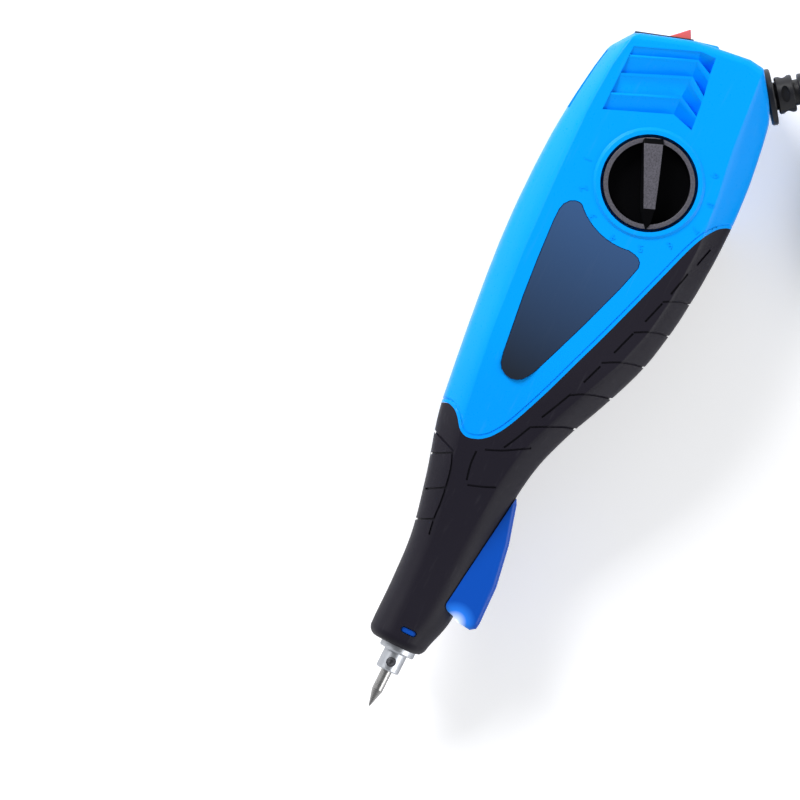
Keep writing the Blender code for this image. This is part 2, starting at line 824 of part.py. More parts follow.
def make_shell(name, side, parent):
    """One half of the blue shell with its seats, bosses and openings."""
    seam = outline_of(SEAM_SHARES)
    deep = HALF_THICK + 2 * OVERRUN
    shell = body(name)
    combine(shell, [prism("black", grown_outline(seam, GAP), -deep, deep)])
    combine(shell, [body("under", GRIP_THICK + GAP)], "UNION")
    hollow = body("hollow", WALL, HOLLOW_STEPS)
    combine(hollow, [prism("thick", grown_outline(seam, WALL), -deep, deep)])
    combine(hollow, [body("deep", GRIP_THICK + GAP + WALL, HOLLOW_STEPS)], "UNION")
    if side > 0:
        high = HALF_THICK + BOSS_RING_HIGH
        ring = post("ring", BOSS_RING_R, HALF_THICK - WALL / 2, high, *dial_centre(), LARGE_SIDES)
        combine(shell, [ring], "UNION")
        combine(hollow, [dial_pocket(WALL, pocket_floor() - DIAL_FLOOR)])
    solid_front = bush_front() + BUSH_LONG + OVERRUN
    combine(hollow, [block("front", (-OVERRUN, -DEPTH, -deep), (solid_front, DEPTH, deep))])
    held = screw_bosses(side) + cradle(side)
    if side < 0:
        held += follower_guide()
    combine(hollow, held)
    boss = outline_of(SWITCH_BOSS_SHARES)
    combine(shell, [prism("boss", boss, -SWITCH_BOSS_HALF, SWITCH_BOSS_HALF)], "UNION")
    combine(shell, [hollow])
    combine(shell, [half_space(side)], "INTERSECT")
    combine(shell, [nose_cutters(), switch_hole(GAP)])
    combine(shell, [relief_hole(RELIEF_INNER_R + GAP), lamp_lead_hole()])
    combine(shell, vent_cutters(side) + screw_cutters(side))
    if side > 0:
        stem_hole = post("stem", STEM_R + GAP, cam_top() - GAP, deep, *dial_centre(), RUBBER_SIDES)
        seat = prism("plate", grown_outline(plate_outline(), GAP), plate_floor() - GAP, deep)
        combine(shell, [dial_pocket(0, pocket_floor()), stem_hole, seat])
    else:
        combine(shell, clamp_posts(CLAMP_POST_R), "UNION")
        combine(shell, clamp_posts(CLAMP_SCREW_R + GAP / 2))
    combine(shell, [top_slot()])
    return place(smooth(shell), blue_shell(), parent)


def dial_pocket(extra, floor):
    """The round pocket for the dial, wider by the extra."""
    radius = DIAL_R + DIAL_GAP + extra
    high = HALF_THICK + 2 * OVERRUN
    return post("pocket", radius, floor, high, *dial_centre(), LARGE_SIDES)


def plate_floor():
    return HALF_THICK - PLATE_SUNK - PLATE_THICK


def plate_outline():
    """The name plate's outline, with its concave end drawn about the dial."""
    x, y = dial_centre()
    turns = np.linspace(PLATE_ARC_TOP, PLATE_ARC_FOOT, PLATE_ARC_STEPS)
    arc = [(x + PLATE_ARC_R * math.cos(a), y + PLATE_ARC_R * math.sin(a)) for a in turns]
    return outline_of(PLATE_SHARES) + arc


def top_slot():
    """The narrow sunk slot along the top of the rear."""
    (x0, y0), (x1, y1) = outline_of(TOP_SLOT_SHARES)
    outline = [(x0, y0 - SLOT_DEEP), (x1, y1 - SLOT_DEEP), (x1, y1 + OVERRUN), (x0, y0 + OVERRUN)]
    return prism("slot", outline, -SLOT_HALF, SLOT_HALF)


def make_grip(name, side, parent):
    """The soft black cover of one half, from the nose to the palm swell."""
    deep = HALF_THICK + 2 * OVERRUN
    grip = body(name)
    combine(grip, [prism("keep", outline_of(SEAM_SHARES), -deep, deep)], "INTERSECT")
    combine(grip, [body("inside", GRIP_THICK)])
    combine(grip, [half_space(side)], "INTERSECT")
    mouth = nose_end()
    wide = CHUCK_FLANGE_R + 2 * RUNNING_GAP
    bore = turned("bore", [(mouth - OVERRUN, wide), (mouth + OVERRUN, wide)])
    combine(grip, [pushed(bore, (0, AXIS_Y, 0)), lamp_lead_hole()])
    if side < 0:
        combine(grip, screw_cutters(side, GAP))
    return place(smooth(grip), black_grip(), parent)


def make_plate(parent):
    made = prism("name_plate", plate_outline(), plate_floor(), plate_floor() + PLATE_THICK)
    return place(made, label_gloss(), parent)


def lamp_socket(radius, front):
    """The lamp's stepped bore, drawn from its seat to beyond its mouth."""
    return framed(turned("socket", [(-LAMP_SOCKET, radius), (front, radius)]), lamp_frame())


def make_hood(parent):
    """The blue hood under the nose that holds the lamp."""
    made = prism("lamp_hood", outline_of(HOOD_SHARES), -HOOD_HALF, HOOD_HALF)
    bevel = made.modifiers.new("Soft edges", "BEVEL")
    bevel.width = WALL / 2
    bevel.segments = 2
    bevel.limit_method = "ANGLE"
    bevel.angle_limit = math.radians(50)
    combine(made, [body("pen", -GAP)])
    combine(made, [lamp_socket(LAMP_RIM_R + GAP, OVERRUN), lamp_lead_hole()])
    return place(smooth(made, 40), blue_shell(), parent)


def make_lamp(parent):
    """The round lamp with its rim and domed front."""
    dome = [(LAMP_R * math.sin(a), LAMP_R * math.cos(a)) for a in np.linspace(0, math.pi / 2, 5)]
    rear = -LAMP_LONG
    start = rear + LAMP_RIM
    points = [(rear, LAMP_RIM_R), (start, LAMP_RIM_R), (start, LAMP_R)]
    points += [(x - LAMP_R, r) for x, r in dome[:-1]] + [(0, 0.0)]
    made = framed(turned("lamp", points), lamp_frame())
    return place(smooth(made), lamp_clear(), parent)


def make_lamp_board(parent):
    rear = -LAMP_LONG - GAP - LAMP_BOARD
    made = turned("lamp_board", [(rear, LAMP_RIM_R), (rear + LAMP_BOARD, LAMP_RIM_R)])
    return place(framed(made, lamp_frame()), board_green(), parent)


def on_axis(made):
    return pushed(made, (0, AXIS_Y, 0))


def chuck_front():
    """The chuck's front, placed so that its flange stands just inside the nose."""
    return nose_end() + CHUCK_SUNK - CHUCK_FLANGE - CHUCK_COLLAR


def shaft_front():
    return chuck_front() + CHUCK_COLLAR + CHUCK_FLANGE + GAP


def bush_front():
    return nose_end() + MOUTH_DEPTH + BUSH_BACK


def spring_front():
    return bush_front() + BUSH_LONG + BUSH_FLANGE + GAP


def spring_rear():
    return spring_front() + SPRING_LONG + GAP


def plunger_front():
    return magnet_x() + YOKE_PLATE + GAP + POLE_LONG + AIR_GAP


def plunger_rear():
    return magnet_x() + YOKE_LONG + PLUNGER_TAIL


def make_tip(parent):
    rear = shaft_front() - GAP
    points = [(0, TIP_FLAT_R), (TIP_CONE, TIP_R), (rear, TIP_R)]
    made = on_axis(turned("engraving_tip", points))
    return place(smooth(made), bright_steel(), parent)


def make_chuck(parent):
    """The aluminium chuck: collar, flange and the socket for the shaft."""
    front = chuck_front()
    collar = front + CHUCK_COLLAR
    flange = collar + CHUCK_FLANGE
    rear = flange + CHUCK_STEM
    points = [
        (front, CHUCK_R), (collar, CHUCK_R), (collar, CHUCK_FLANGE_R),
        (flange, CHUCK_FLANGE_R), (flange, CHUCK_STEM_R), (rear, CHUCK_STEM_R),
    ]
    made = turned("chuck", points)
    tip_bore = turned("bore", [(-OVERRUN, TIP_R + GAP), (rear + OVERRUN, TIP_R + GAP)])
    socket = turned("socket", [(flange, SHAFT_R + GAP), (rear + OVERRUN, SHAFT_R + GAP)])
    hole = post("hole", SET_SCREW_R + GAP, 0, CHUCK_R + OVERRUN, front + SET_SCREW_BACK, 0)
    combine(made, [tip_bore, socket, hole])
    return place(smooth(on_axis(made)), aluminium(), parent)


def make_set_screw(parent):
    middle = chuck_front() + SET_SCREW_BACK
    foot = TIP_R + GAP
    made = post("set_screw", SET_SCREW_R, foot, foot + SET_SCREW_LONG, middle, AXIS_Y)
    return place(made, magnet_iron(), parent)


def make_shaft(parent):
    """The long shaft from the chuck to the plunger, with the collar of its spring."""
    seat = spring_rear()
    points = [
        (shaft_front(), SHAFT_R), (seat, SHAFT_R), (seat, SHAFT_COLLAR_R),
        (seat + SHAFT_COLLAR, SHAFT_COLLAR_R), (seat + SHAFT_COLLAR, SHAFT_R),
        (plunger_front() - GAP, SHAFT_R),
    ]
    made = on_axis(turned("stylus_shaft", points))
    return place(smooth(made), bright_steel(), parent)


def make_bush(parent):
    rear = bush_front() + BUSH_LONG
    points = [
        (bush_front(), BUSH_R), (rear, BUSH_R), (rear, BUSH_FLANGE_R),
        (rear + BUSH_FLANGE, BUSH_FLANGE_R),
    ]
    made = on_axis(turned("nose_bush", points, bore=SHAFT_R + GAP))
    return place(smooth(made), bronze(), parent)


def coil_spring(name, front, long, radius, turns, parent):
    """An open wire spring about the stylus axis."""
    steps = SPRING_STEPS * turns
    curve = bpy.data.curves.new(name, "CURVE")
    curve.dimensions = "3D"
    curve.bevel_depth = SPRING_WIRE_R
    curve.bevel_resolution = 0
    curve.use_fill_caps = True
    line = curve.splines.new("POLY")
    line.points.add(steps)
    run = long - 2 * SPRING_WIRE_R
    for i in range(steps + 1):
        turn = 2 * math.pi * turns * i / steps
        x = front + SPRING_WIRE_R + run * i / steps
        y, z = radius * math.cos(turn), radius * math.sin(turn)
        line.points[i].co = (x, AXIS_Y + y, z, 1)
    made = bpy.data.objects.new(name, curve)
    bpy.context.collection.objects.link(made)
    made.parent = parent
    curve.materials.append(bright_steel())
    return made


def make_yoke(parent):
    """The iron frame round the coil: two end plates joined by two straps."""
    front, rear = magnet_x(), magnet_x() + YOKE_LONG
    tall = YOKE_HALF + YOKE_STRAP
    made = block("yoke", (front, -tall, -YOKE_HALF_WIDE), (rear, tall, YOKE_HALF_WIDE))
    window = block(
        "window",
        (front + YOKE_PLATE, -YOKE_HALF, -YOKE_HALF_WIDE - OVERRUN),
        (rear - YOKE_PLATE, YOKE_HALF, YOKE_HALF_WIDE + OVERRUN),
    )
    middle = (front + rear) / 2
    seat = POLE_SPIGOT_R + GAP
    front_hole = turned("hole", [(front - OVERRUN, seat), (middle, seat)])
    passage = PLUNGER_R + RUNNING_GAP
    rear_hole = turned("hole", [(middle, passage), (rear + OVERRUN, passage)])
    combine(made, [window, front_hole, rear_hole])
    return place(on_axis(made), magnet_iron(), parent)


def make_pole(parent):
    """The fixed iron pole in the front plate, bored for the shaft."""
    plate = magnet_x() + YOKE_PLATE + GAP
    points = [
        (magnet_x(), POLE_SPIGOT_R), (plate, POLE_SPIGOT_R), (plate, PLUNGER_R),
        (plate + POLE_LONG, PLUNGER_R),
    ]
    made = on_axis(turned("pole_piece", points, bore=SHAFT_R + RUNNING_GAP))
    return place(smooth(made), magnet_iron(), parent)


def bobbin_ends():
    return magnet_x() + YOKE_PLATE + GAP, magnet_x() + YOKE_LONG - YOKE_PLATE - GAP


def make_bobbin(parent):
    front, rear = bobbin_ends()
    points = [
        (front, BOBBIN_FLANGE_R), (front + BOBBIN_FLANGE, BOBBIN_FLANGE_R),
        (front + BOBBIN_FLANGE, BOBBIN_TUBE_R), (rear - BOBBIN_FLANGE, BOBBIN_TUBE_R),
        (rear - BOBBIN_FLANGE, BOBBIN_FLANGE_R), (rear, BOBBIN_FLANGE_R),
    ]
    made = on_axis(turned("bobbin", points, bore=PLUNGER_R + RUNNING_GAP))
    return place(smooth(made), bobbin_nylon(), parent)


def make_winding(parent):
    front, rear = bobbin_ends()
    start, end = front + BOBBIN_FLANGE + GAP, rear - BOBBIN_FLANGE - GAP
    points = [(start, WINDING_R), (end, WINDING_R)]
    made = on_axis(turned("coil_winding", points, bore=BOBBIN_TUBE_R + GAP))
    return place(smooth(made), copper_wire(), parent)


def make_plunger(parent):
    """The iron plunger on the shaft, with the spigot of its buffer spring."""
    rear = plunger_rear()
    points = [
        (plunger_front(), PLUNGER_R), (rear, PLUNGER_R), (rear, TAIL_SPIGOT_R),
        (rear + TAIL_SPIGOT, TAIL_SPIGOT_R),
    ]
    made = on_axis(turned("plunger", points))
    return place(smooth(made), magnet_iron(), parent)


def follower_front():
    """The follower's front face, one buffer spring behind the plunger."""
    return plunger_rear() + BUFFER_LONG + 2 * GAP


def make_follower(parent):
    """The block that slides along the pen, with the pin that rides in the cam."""
    front = follower_front()
    rear = front + FOLLOWER_LONG
    half = FOLLOWER_HALF
    made = block("dial_follower", (front, -half, -half), (rear, half, half))
    wide = FOLLOWER_HALF + FOLLOWER_FOOT
    thin = RIB_THICK / 2
    wings = block("wings", (front + GAP, -wide, -thin), (rear - GAP, wide, thin))
    column = dial_centre()[1] - AXIS_Y
    beside = CAM_PIN_R + WALL / 2
    top = cam_top() - CAM_THICK - 2 * GAP
    riser = block("riser", (front + GAP, column - beside, 0), (rear - GAP, column + beside, top))
    middle = (front + rear) / 2
    pin_top = cam_top() - CAM_THICK + CAM_GROOVE_DEPTH - GAP
    pin = post("pin", CAM_PIN_R, top - GAP, pin_top, middle, column)
    combine(made, [wings, riser, pin], "UNION")
    return place(on_axis(made), bobbin_nylon(), parent, (middle, AXIS_Y, 0))


def make_dial(parent):
    """The round dial: a rim, two sunk dishes and a tapered bar across them."""
    x, y = dial_centre()
    top = dial_top()
    low = top - DIAL_THICK
    made = post("stroke_dial", DIAL_R, low, top, 0, 0, LARGE_SIDES)
    inside = DIAL_R - DIAL_RIM
    dish = post("dish", inside, top - DIAL_DISH_DEPTH, top + OVERRUN, 0, 0, LARGE_SIDES)
    reach = DIAL_R - GAP
    bar_outline = [
        (-reach, 0), (-reach + BAR_HALF_THIN, -BAR_HALF_THIN), (reach, -BAR_HALF_WIDE),
        (reach, BAR_HALF_WIDE), (-reach + BAR_HALF_THIN, BAR_HALF_THIN),
    ]
    bar = pushed(prism("bar", bar_outline, low + GAP, top + BAR_PROUD), spin=BAR_ANGLE)
    combine(made, [dish])
    combine(made, [bar], "UNION")
    stem = post("stem", STEM_R, cam_top() + GAP, low + GAP, 0, 0, PLAIN_SIDES)
    combine(made, [stem], "UNION")
    deep = cam_top() + CAM_SCREW_LONG
    bore = post("bore", CAM_SCREW_R + GAP, cam_top() - OVERRUN, deep, 0, 0)
    combine(made, [bore])
    made.data.transform(Matrix.Translation((x, y, 0)))
    return place(smooth(made), dial_black(), parent, (x, y, 0))


def groove_radius(angle):
    """The groove's distance from the dial's centre when the dial has turned so far."""
    return CAM_REST_R - CAM_RISE * angle


def make_cam(parent):
    """The disc under the dial with a scroll groove in its lower face."""
    x, y = dial_centre()
    top = cam_top()
    low = top - CAM_THICK
    made = post("scroll_cam", CAM_R, low, top, 0, 0, CAM_SIDES)
    half = CAM_PIN_R + GAP
    first = DIAL_BACK - (half + GAP) / groove_radius(DIAL_BACK)
    last = DIAL_ON + (half + GAP) / groove_radius(DIAL_ON)
    turns = np.linspace(first, last, CAM_SIDES)
    inner, outer = [], []
    for turn in turns:
        lean = math.pi - turn
        way = (math.cos(lean), math.sin(lean))
        inner.append(tuple((groove_radius(turn) - half) * w for w in way))
        outer.append(tuple((groove_radius(turn) + half) * w for w in way))
    groove = prism("groove", inner + outer[::-1], low - OVERRUN, low + CAM_GROOVE_DEPTH)
    head = CAM_SCREW_HEAD_R + GAP
    seat = post("seat", head, low - OVERRUN, top - CAM_THICK / 3, 0, 0)
    bore = post("bore", CAM_SCREW_R + GAP, low, top + OVERRUN, 0, 0)
    combine(made, [groove, seat, bore])
    made.data.transform(Matrix.Translation((x, y, 0)))
    return place(smooth(made), bobbin_nylon(), parent, (x, y, 0))


def make_cam_screw(parent):
    x, y = dial_centre()
    seat = cam_top() - CAM_THICK / 3 - GAP
    points = [
        (seat - CAM_SCREW_HEAD, CAM_SCREW_HEAD_R), (seat, CAM_SCREW_HEAD_R),
        (seat, CAM_SCREW_R), (seat + CAM_SCREW_LONG, CAM_SCREW_R),
    ]
    made = upright(turned("cam_screw", points, SMALL_SIDES), (x, y, 0))
    return place(smooth(made), bright_steel(), parent, (x, y, 0))


def make_switch(parent):
    """The switch's case with its bezel, open at the front for the rocker."""
    long, wide = SWITCH_HALF_LONG, SWITCH_HALF_WIDE
    case = block("rocker_switch", (-SWITCH_DEEP, -long, -wide), (GAP, long, wide))
    edge_long, edge_wide = BEZEL_HALF_LONG, BEZEL_HALF_WIDE
    front = GAP + BEZEL_HIGH
    bezel = block("bezel", (GAP, -edge_long, -edge_wide), (front, edge_long, edge_wide))
    combine(case, [bezel], "UNION")
    in_long, in_wide = long - SWITCH_WALL, wide - SWITCH_WALL
    well = block("well", (-SWITCH_DEEP / 2, -in_long, -in_wide), (OVERRUN, in_long, in_wide))
    reach = wide + OVERRUN
    pivot = post("pivot", ROCKER_PIN_R + GAP, -reach, reach, rocker_pivot(), 0)
    combine(case, [well, pivot])
    return place(framed(case, switch_frame()), switch_black(), parent)


def rocker_pivot():
    """The rocker's pivot, measured out of the rear face."""
    return GAP + BEZEL_HIGH - ROCKER_PIVOT_DEEP


def make_rocker(parent):
    """The rocker, drawn level and then tipped to its rest about its pivot."""
    high, mid = ROCKER_END_HIGH + ROCKER_PIVOT_DEEP, ROCKER_MID_HIGH + ROCKER_PIVOT_DEEP
    low = high - ROCKER_DEEP
    outline = [
        (high, -ROCKER_HALF_LONG), (mid, 0), (high, ROCKER_HALF_LONG),
        (low, ROCKER_HALF_LONG), (-ROCKER_DEEP, 0), (low, -ROCKER_HALF_LONG),
    ]
    made = prism("rocker_button", outline, -ROCKER_HALF_WIDE, ROCKER_HALF_WIDE)
    reach = SWITCH_HALF_WIDE - GAP / 2
    pins = post("pins", ROCKER_PIN_R, -reach, reach, 0, 0)
    combine(made, [pins], "UNION")
    made.data.transform(Matrix.Rotation(ROCKER_REST, 4, "Z"))
    centre = switch_frame() @ Vector((rocker_pivot(), 0, 0))
    made.data.transform(Matrix.Translation(centre) @ Matrix.Rotation(SWITCH_TILT, 4, "Z"))
    return place(made, red_rocker(), parent, centre)


def make_tabs(parent):
    """The two flat tabs at the back of the switch."""
    rear = -SWITCH_DEEP - GAP
    for number, up in enumerate((-1, 1), 1):
        middle = up * TAB_SPACING / 2
        low = (rear - TAB_LONG, middle - TAB_THICK / 2, -TAB_WIDE / 2)
        high = (rear, middle + TAB_THICK / 2, TAB_WIDE / 2)
        tab = block(f"switch_tab_{number}", low, high)
        place(framed(tab, switch_frame()), brass(), parent)


def make_relief(parent):
    """The ribbed rubber strain relief with its flange and bore."""
    points = [
        (-RELIEF_INNER, RELIEF_INNER_R), (GAP, RELIEF_INNER_R), (GAP, RELIEF_FLANGE_R),
        (GAP + RELIEF_FLANGE, RELIEF_FLANGE_R), (GAP + RELIEF_FLANGE, RELIEF_NECK_R),
    ]
    start = GAP + RELIEF_FLANGE + RELIEF_NECK
    ribs = int((RELIEF_LONG - start) / (RELIEF_RIB + RELIEF_GROOVE))
    pitch = (RELIEF_LONG - start + RELIEF_GROOVE) / ribs
    for i in range(ribs):
        radius = RELIEF_ROOT_R + (RELIEF_TIP_R - RELIEF_ROOT_R) * i / (ribs - 1)
        front = start + pitch * i
        rear = front + pitch - RELIEF_GROOVE
        points += [(front, RELIEF_CORE_R), (front, radius), (rear, radius), (rear, RELIEF_CORE_R)]
    made = turned("strain_relief", points[:-1], RUBBER_SIDES, bore=CORD_R + GAP)
    return place(smooth(framed(made, relief_frame())), cord_black(), parent)


def make_jacket(parent):
    """The end of the cord inside the strain relief and the clamp."""
    points = [(-JACKET_INSIDE, CORD_R), (RELIEF_LONG - GAP, CORD_R)]
    made = turned("cord_end", points, SMALL_SIDES)
    return place(smooth(framed(made, relief_frame())), cord_black(), parent)


def clamp_places():
    """The two screws of the cord clamp."""
    return [relief_frame() @ Vector((-CLAMP_BACK, up * CLAMP_SCREW_OUT, 0)) for up in (-1, 1)]


def clamp_posts(radius):
    """Posts of the right shell under the clamp, or the holes in them."""
    top = CORD_R - CLAMP_THICK / 2
    low = -HALF_THICK + WALL / 2 if radius == CLAMP_POST_R else top - CLAMP_SCREW_LONG
    high = top if radius == CLAMP_POST_R else top + OVERRUN
    return [post("post", radius, low, high, p.x, p.y) for p in clamp_places()]


def make_clamp(parent):
    """The bar that presses the cord down between two screws."""
    room = CORD_R + GAP
    rear, front = -CLAMP_BACK - CLAMP_WIDE / 2, -CLAMP_BACK + CLAMP_WIDE / 2
    low, high = room - CLAMP_THICK / 2, room + CLAMP_THICK
    bar = block("cord_clamp", (rear, -CLAMP_HALF, low), (front, CLAMP_HALF, high))
    saddle = turned("saddle", [(rear - OVERRUN, room), (front + OVERRUN, room)])
    framed(bar, relief_frame())
    hole = CLAMP_SCREW_R + GAP
    holes = [post("hole", hole, 0, high + OVERRUN, p.x, p.y) for p in clamp_places()]
    combine(bar, [framed(saddle, relief_frame()), *holes])
    return place(bar, switch_black(), parent)


def screw_mesh(name, seat, head, head_r, shank_r, long):
    """A round-headed screw that points up, with its seat at a height."""
    points = [(seat - head, head_r), (seat, head_r), (seat, shank_r), (seat + long, shank_r)]
    return upright(turned(name, points, SMALL_SIDES))


def make_clamp_screws(parent):
    """The two screws that draw the cord clamp down on its posts."""
    seat = CORD_R + GAP + CLAMP_THICK + GAP
    for number, p in enumerate(clamp_places(), 1):
        name = f"clamp_screw_{number}"
        shank = CLAMP_SCREW_R - GAP / 2
        head = CLAMP_SCREW_HEAD_R
        screw = screw_mesh(name, 0, CLAMP_SCREW_HEAD, head, shank, CLAMP_SCREW_LONG)
        pushed(screw, (p.x, p.y, seat), math.pi, "X")
        place(smooth(screw), bright_steel(), parent)


def make_shell_screws(parent):
    """The screws that draw the two shells together from the right side."""
    for number, (x, y) in enumerate(screw_places(), 1):
        seat = -side_at(x) + SCREW_SEAT - GAP
        name = f"shell_screw_{number}"
        screw = screw_mesh(name, seat, SCREW_HEAD, SCREW_HEAD_R, SCREW_R, SCREW_UP - seat)
        pushed(screw, (x, y, 0))
        place(smooth(screw), bright_steel(), parent)


def smooth_route(points, step):
    """Points along a smooth curve through a route, at an even step."""
    points = [Vector(p) for p in points]
    ways = []
    for i, here in enumerate(points):
        before, after = points[max(i - 1, 0)], points[min(i + 1, len(points) - 1)]
        ways.append((after - before).normalized())
    fine = []
    for i in range(len(points) - 1):
        here, there = points[i], points[i + 1]
        reach = (there - here).length / 3
        knots = here, here + ways[i] * reach, there - ways[i + 1] * reach, there
        fine += interpolate_bezier(*knots, CURVE_STEPS)[: None if i == len(points) - 2 else -1]
    gone = np.concatenate([[0], np.cumsum([(b - a).length for a, b in zip(fine, fine[1:])])])
    count = max(2, round(gone[-1] / step))
    marks = np.linspace(0, gone[-1], count + 1)
    return np.stack([np.interp(marks, gone, [p[k] for p in fine]) for k in range(3)], 1)


def tube(name, points, radius, look, parent=None, resolution=2):
    curve = bpy.data.curves.new(name, "CURVE")
    curve.dimensions = "3D"
    curve.bevel_depth = radius
    curve.bevel_resolution = resolution
    curve.use_fill_caps = True
    line = curve.splines.new("POLY")
    line.points.add(len(points) - 1)
    for point, co in zip(line.points, points):
        point.co = (*co, 1)
    made = bpy.data.objects.new(name, curve)
    bpy.context.collection.objects.link(made)
    made.parent = parent
    curve.materials.append(look)
    return made


def make_leads(parent):
    """The wires inside the pen, along their own routes."""
    inner = relief_frame() @ Vector((-JACKET_INSIDE - GAP - LEAD_R, 0, 0))
    back = -SWITCH_DEEP - 2 * GAP - TAB_LONG - LEAD_R
    tabs = [switch_frame() @ Vector((back, up * TAB_SPACING / 2, 0)) for up in (-1, 1)]
    core = Vector((0, 0, CORD_R / 2))
    near = inner + Vector((-OVERRUN / 2, OVERRUN / 3, 0))
    bend = tabs[0] - Vector((OVERRUN, OVERRUN, 0))
    live = smooth_route([inner + core, near + core, bend, tabs[0]], LEAD_STEP)
    tube("lead_live", live, LEAD_R, lead_red(), parent, 1)
    switched = smooth_route(coil_lead_route([tabs[1]], 1), LEAD_STEP)
    tube("lead_switched", switched, LEAD_R, lead_red(), parent, 1)
    neutral = smooth_route(coil_lead_route([inner - core, near - 2 * core], -1), LEAD_STEP)
    tube("lead_neutral", neutral, LEAD_R, lead_blue(), parent, 1)
    make_lamp_lead(parent)


def coil_lead_route(start, up):
    """From a start at the rear, along the top of a guide rail, to the winding's end."""
    rail_y = AXIS_Y + up * (FOLLOWER_HALF + FOLLOWER_FOOT + GAP + GUIDE_WALL / 2)
    rail_z = OVERRUN + GAP + LEAD_R
    front, rear = follower_front(), follower_front() + FOLLOWER_LONG
    end = Vector((
        magnet_x() + YOKE_LONG + GAP + LEAD_R,
        AXIS_Y + up * YOKE_HALF * LEAD_END_SHARE,
        -RIB_REACH * LEAD_END_SHARE,
    ))
    over_rail = [Vector((x, rail_y, rail_z)) for x in (rear, front)]
    inward = Vector((-OVERRUN, 0, 0))
    return [*start, start[-1] + inward, *over_rail, end - inward / 2, end]


def make_lamp_lead(parent):
    """The lamp's lead, from its board up its passage and back beside the shaft."""
    start = lamp_frame() @ Vector((-LAMP_LONG - 2 * GAP - LAMP_BOARD, 0, 0))
    board, end = lamp_passage()
    way = (end - board).normalized()
    last_x = magnet_x() - 2 * GAP - RIB_THICK - LEAD_R
    beside = (SHAFT_R + 2 * GAP + LEAD_R) / math.sqrt(2)
    run = [Vector((x, AXIS_Y - beside, -beside)) for x in (end.x + 2 * OVERRUN, last_x)]
    route = [start, board, board + way * OVERRUN, end - way * OVERRUN, end, *run]
    tube("lamp_lead", smooth_route(route, LEAD_STEP), LEAD_R, lead_blue(), parent, 1)


def lay_down(parent, cord_nodes):
    """Lays the pen on its right side with the middle of its box over the origin."""
    bpy.context.view_layer.update()
    graph = bpy.context.evaluated_depsgraph_get()
    corners = []
    for made in bpy.data.objects:
        if made.type in {"MESH", "CURVE"} and made.name not in cord_nodes:
            shown = made.evaluated_get(graph)
            mesh = shown.to_mesh()
            corners += [shown.matrix_world @ v.co for v in mesh.vertices]
            shown.to_mesh_clear()
    low = [min(c[k] for c in corners) for k in range(3)]
    high = [max(c[k] for c in corners) for k in range(3)]
    parent.location = (-(low[0] + high[0]) / 2, -(low[1] + high[1]) / 2, -low[2])


def coil_points(parent_z):
    """The put-away coil: in at one height, a climb, and out again one layer up.

    Points are in the pen's X and Y, with heights over the floor.
    """
    steps = COIL_LOOPS * COIL_STEPS
    half = steps // 2
    climb = COIL_STEPS // 2
    points = []
    for i in range(steps + 1):
        turn = COIL_START - 2 * math.pi * i / COIL_STEPS
        inward = min(i, steps - i) / COIL_STEPS
        radius = COIL_INNER + COIL_STEP * (COIL_LOOPS / 2 - inward)
        rise = min(max((i - half + climb / 2) / climb, 0.0), 1.0)
        rise = rise * rise * (3 - 2 * rise)
        z = TIE_THICK + GAP + CORD_R + COIL_CLIMB * rise - parent_z
        points.append((COIL_X + radius * math.cos(turn), COIL_Y + radius * math.sin(turn), z))
    return points


def least_gap(points, radius, apart):
    """The least gap between stretches of a tube that lie some steps apart."""
    spots = np.array(points)
    least = math.inf
    for i in range(len(spots) - apart):
        gaps = np.linalg.norm(spots[i + apart:] - spots[i], axis=1)
        least = min(least, gaps.min() - 2 * radius)
    return least


def make_cord(parent):
    """The cord from the relief to the floor, its coil, its tie and its plug."""
    floor = parent.location.z
    coil = coil_points(floor)
    print("least gap in the coil", round(least_gap(coil, CORD_R, COIL_STEPS // 2), 5))
    tube("cord_coil", coil, CORD_R, cord_black(), parent, 1)
    start = relief_frame() @ Vector((RELIEF_LONG + GAP, 0, 0))
    way = (relief_frame().to_3x3() @ Vector((1, 0, 0))).normalized()
    straight = 2 * CORD_R
    into = (Vector(coil[1]) - Vector(coil[0])).normalized()
    end = Vector(coil[0]) - into * GAP
    free = [Vector((x, y, z - floor)) for x, y, z in CORD_ROUTE]
    route = [start, start + way * straight, *free, end - into * straight, end]
    tube("cord_run", smooth_route(route, CORD_STEP), CORD_R, cord_black(), parent)
    out = (Vector(coil[-1]) - Vector(coil[-2])).normalized()
    leave = Vector(coil[-1]) + out * GAP
    level = Vector((1, 0, 0))
    beside = leave.y + PLUG_ASIDE
    plug_rear = Vector((PLUG_X + PLUG_LONG + PLUG_TAIL, beside, PLUG_THICK / 2 - floor))
    arrive = plug_rear + level * GAP
    over = (leave + arrive) / 2
    over.z = leave.z + GAP
    tail = [leave, leave + 2 * out * straight, over, arrive + level * straight, arrive]
    tube("cord_tail", smooth_route(tail, CORD_STEP), CORD_R, cord_black(), parent)
    make_plug(parent, plug_rear)
    make_tie(parent, floor)


def make_plug(parent, rear):
    """The moulded two-pin plug, lying flat behind its cord."""
    points = [(-PLUG_TAIL - GAP, PLUG_TAIL_R), (0, PLUG_TAIL_R)]
    tail = pushed(turned("tail", points, RUBBER_SIDES), rear)
    front = rear.x - PLUG_TAIL
    y, z = rear.y, rear.z
    wide, thick = PLUG_WIDE / 2, PLUG_THICK / 2
    box = block("plug_body", (front - PLUG_LONG, y - wide, z - thick), (front, y + wide, z + thick))
    combine(box, [tail], "UNION")
    place(box, cord_black(), parent)
    face = front - PLUG_LONG - GAP
    for number, up in enumerate((-1, 1), 1):
        middle = y + up * PIN_SPACING / 2
        low = (face - PIN_LONG, middle - PIN_THICK / 2, z - PIN_WIDE / 2)
        high = (face, middle + PIN_THICK / 2, z + PIN_WIDE / 2)
        place(block(f"plug_pin_{number}", low, high), brass(), parent)


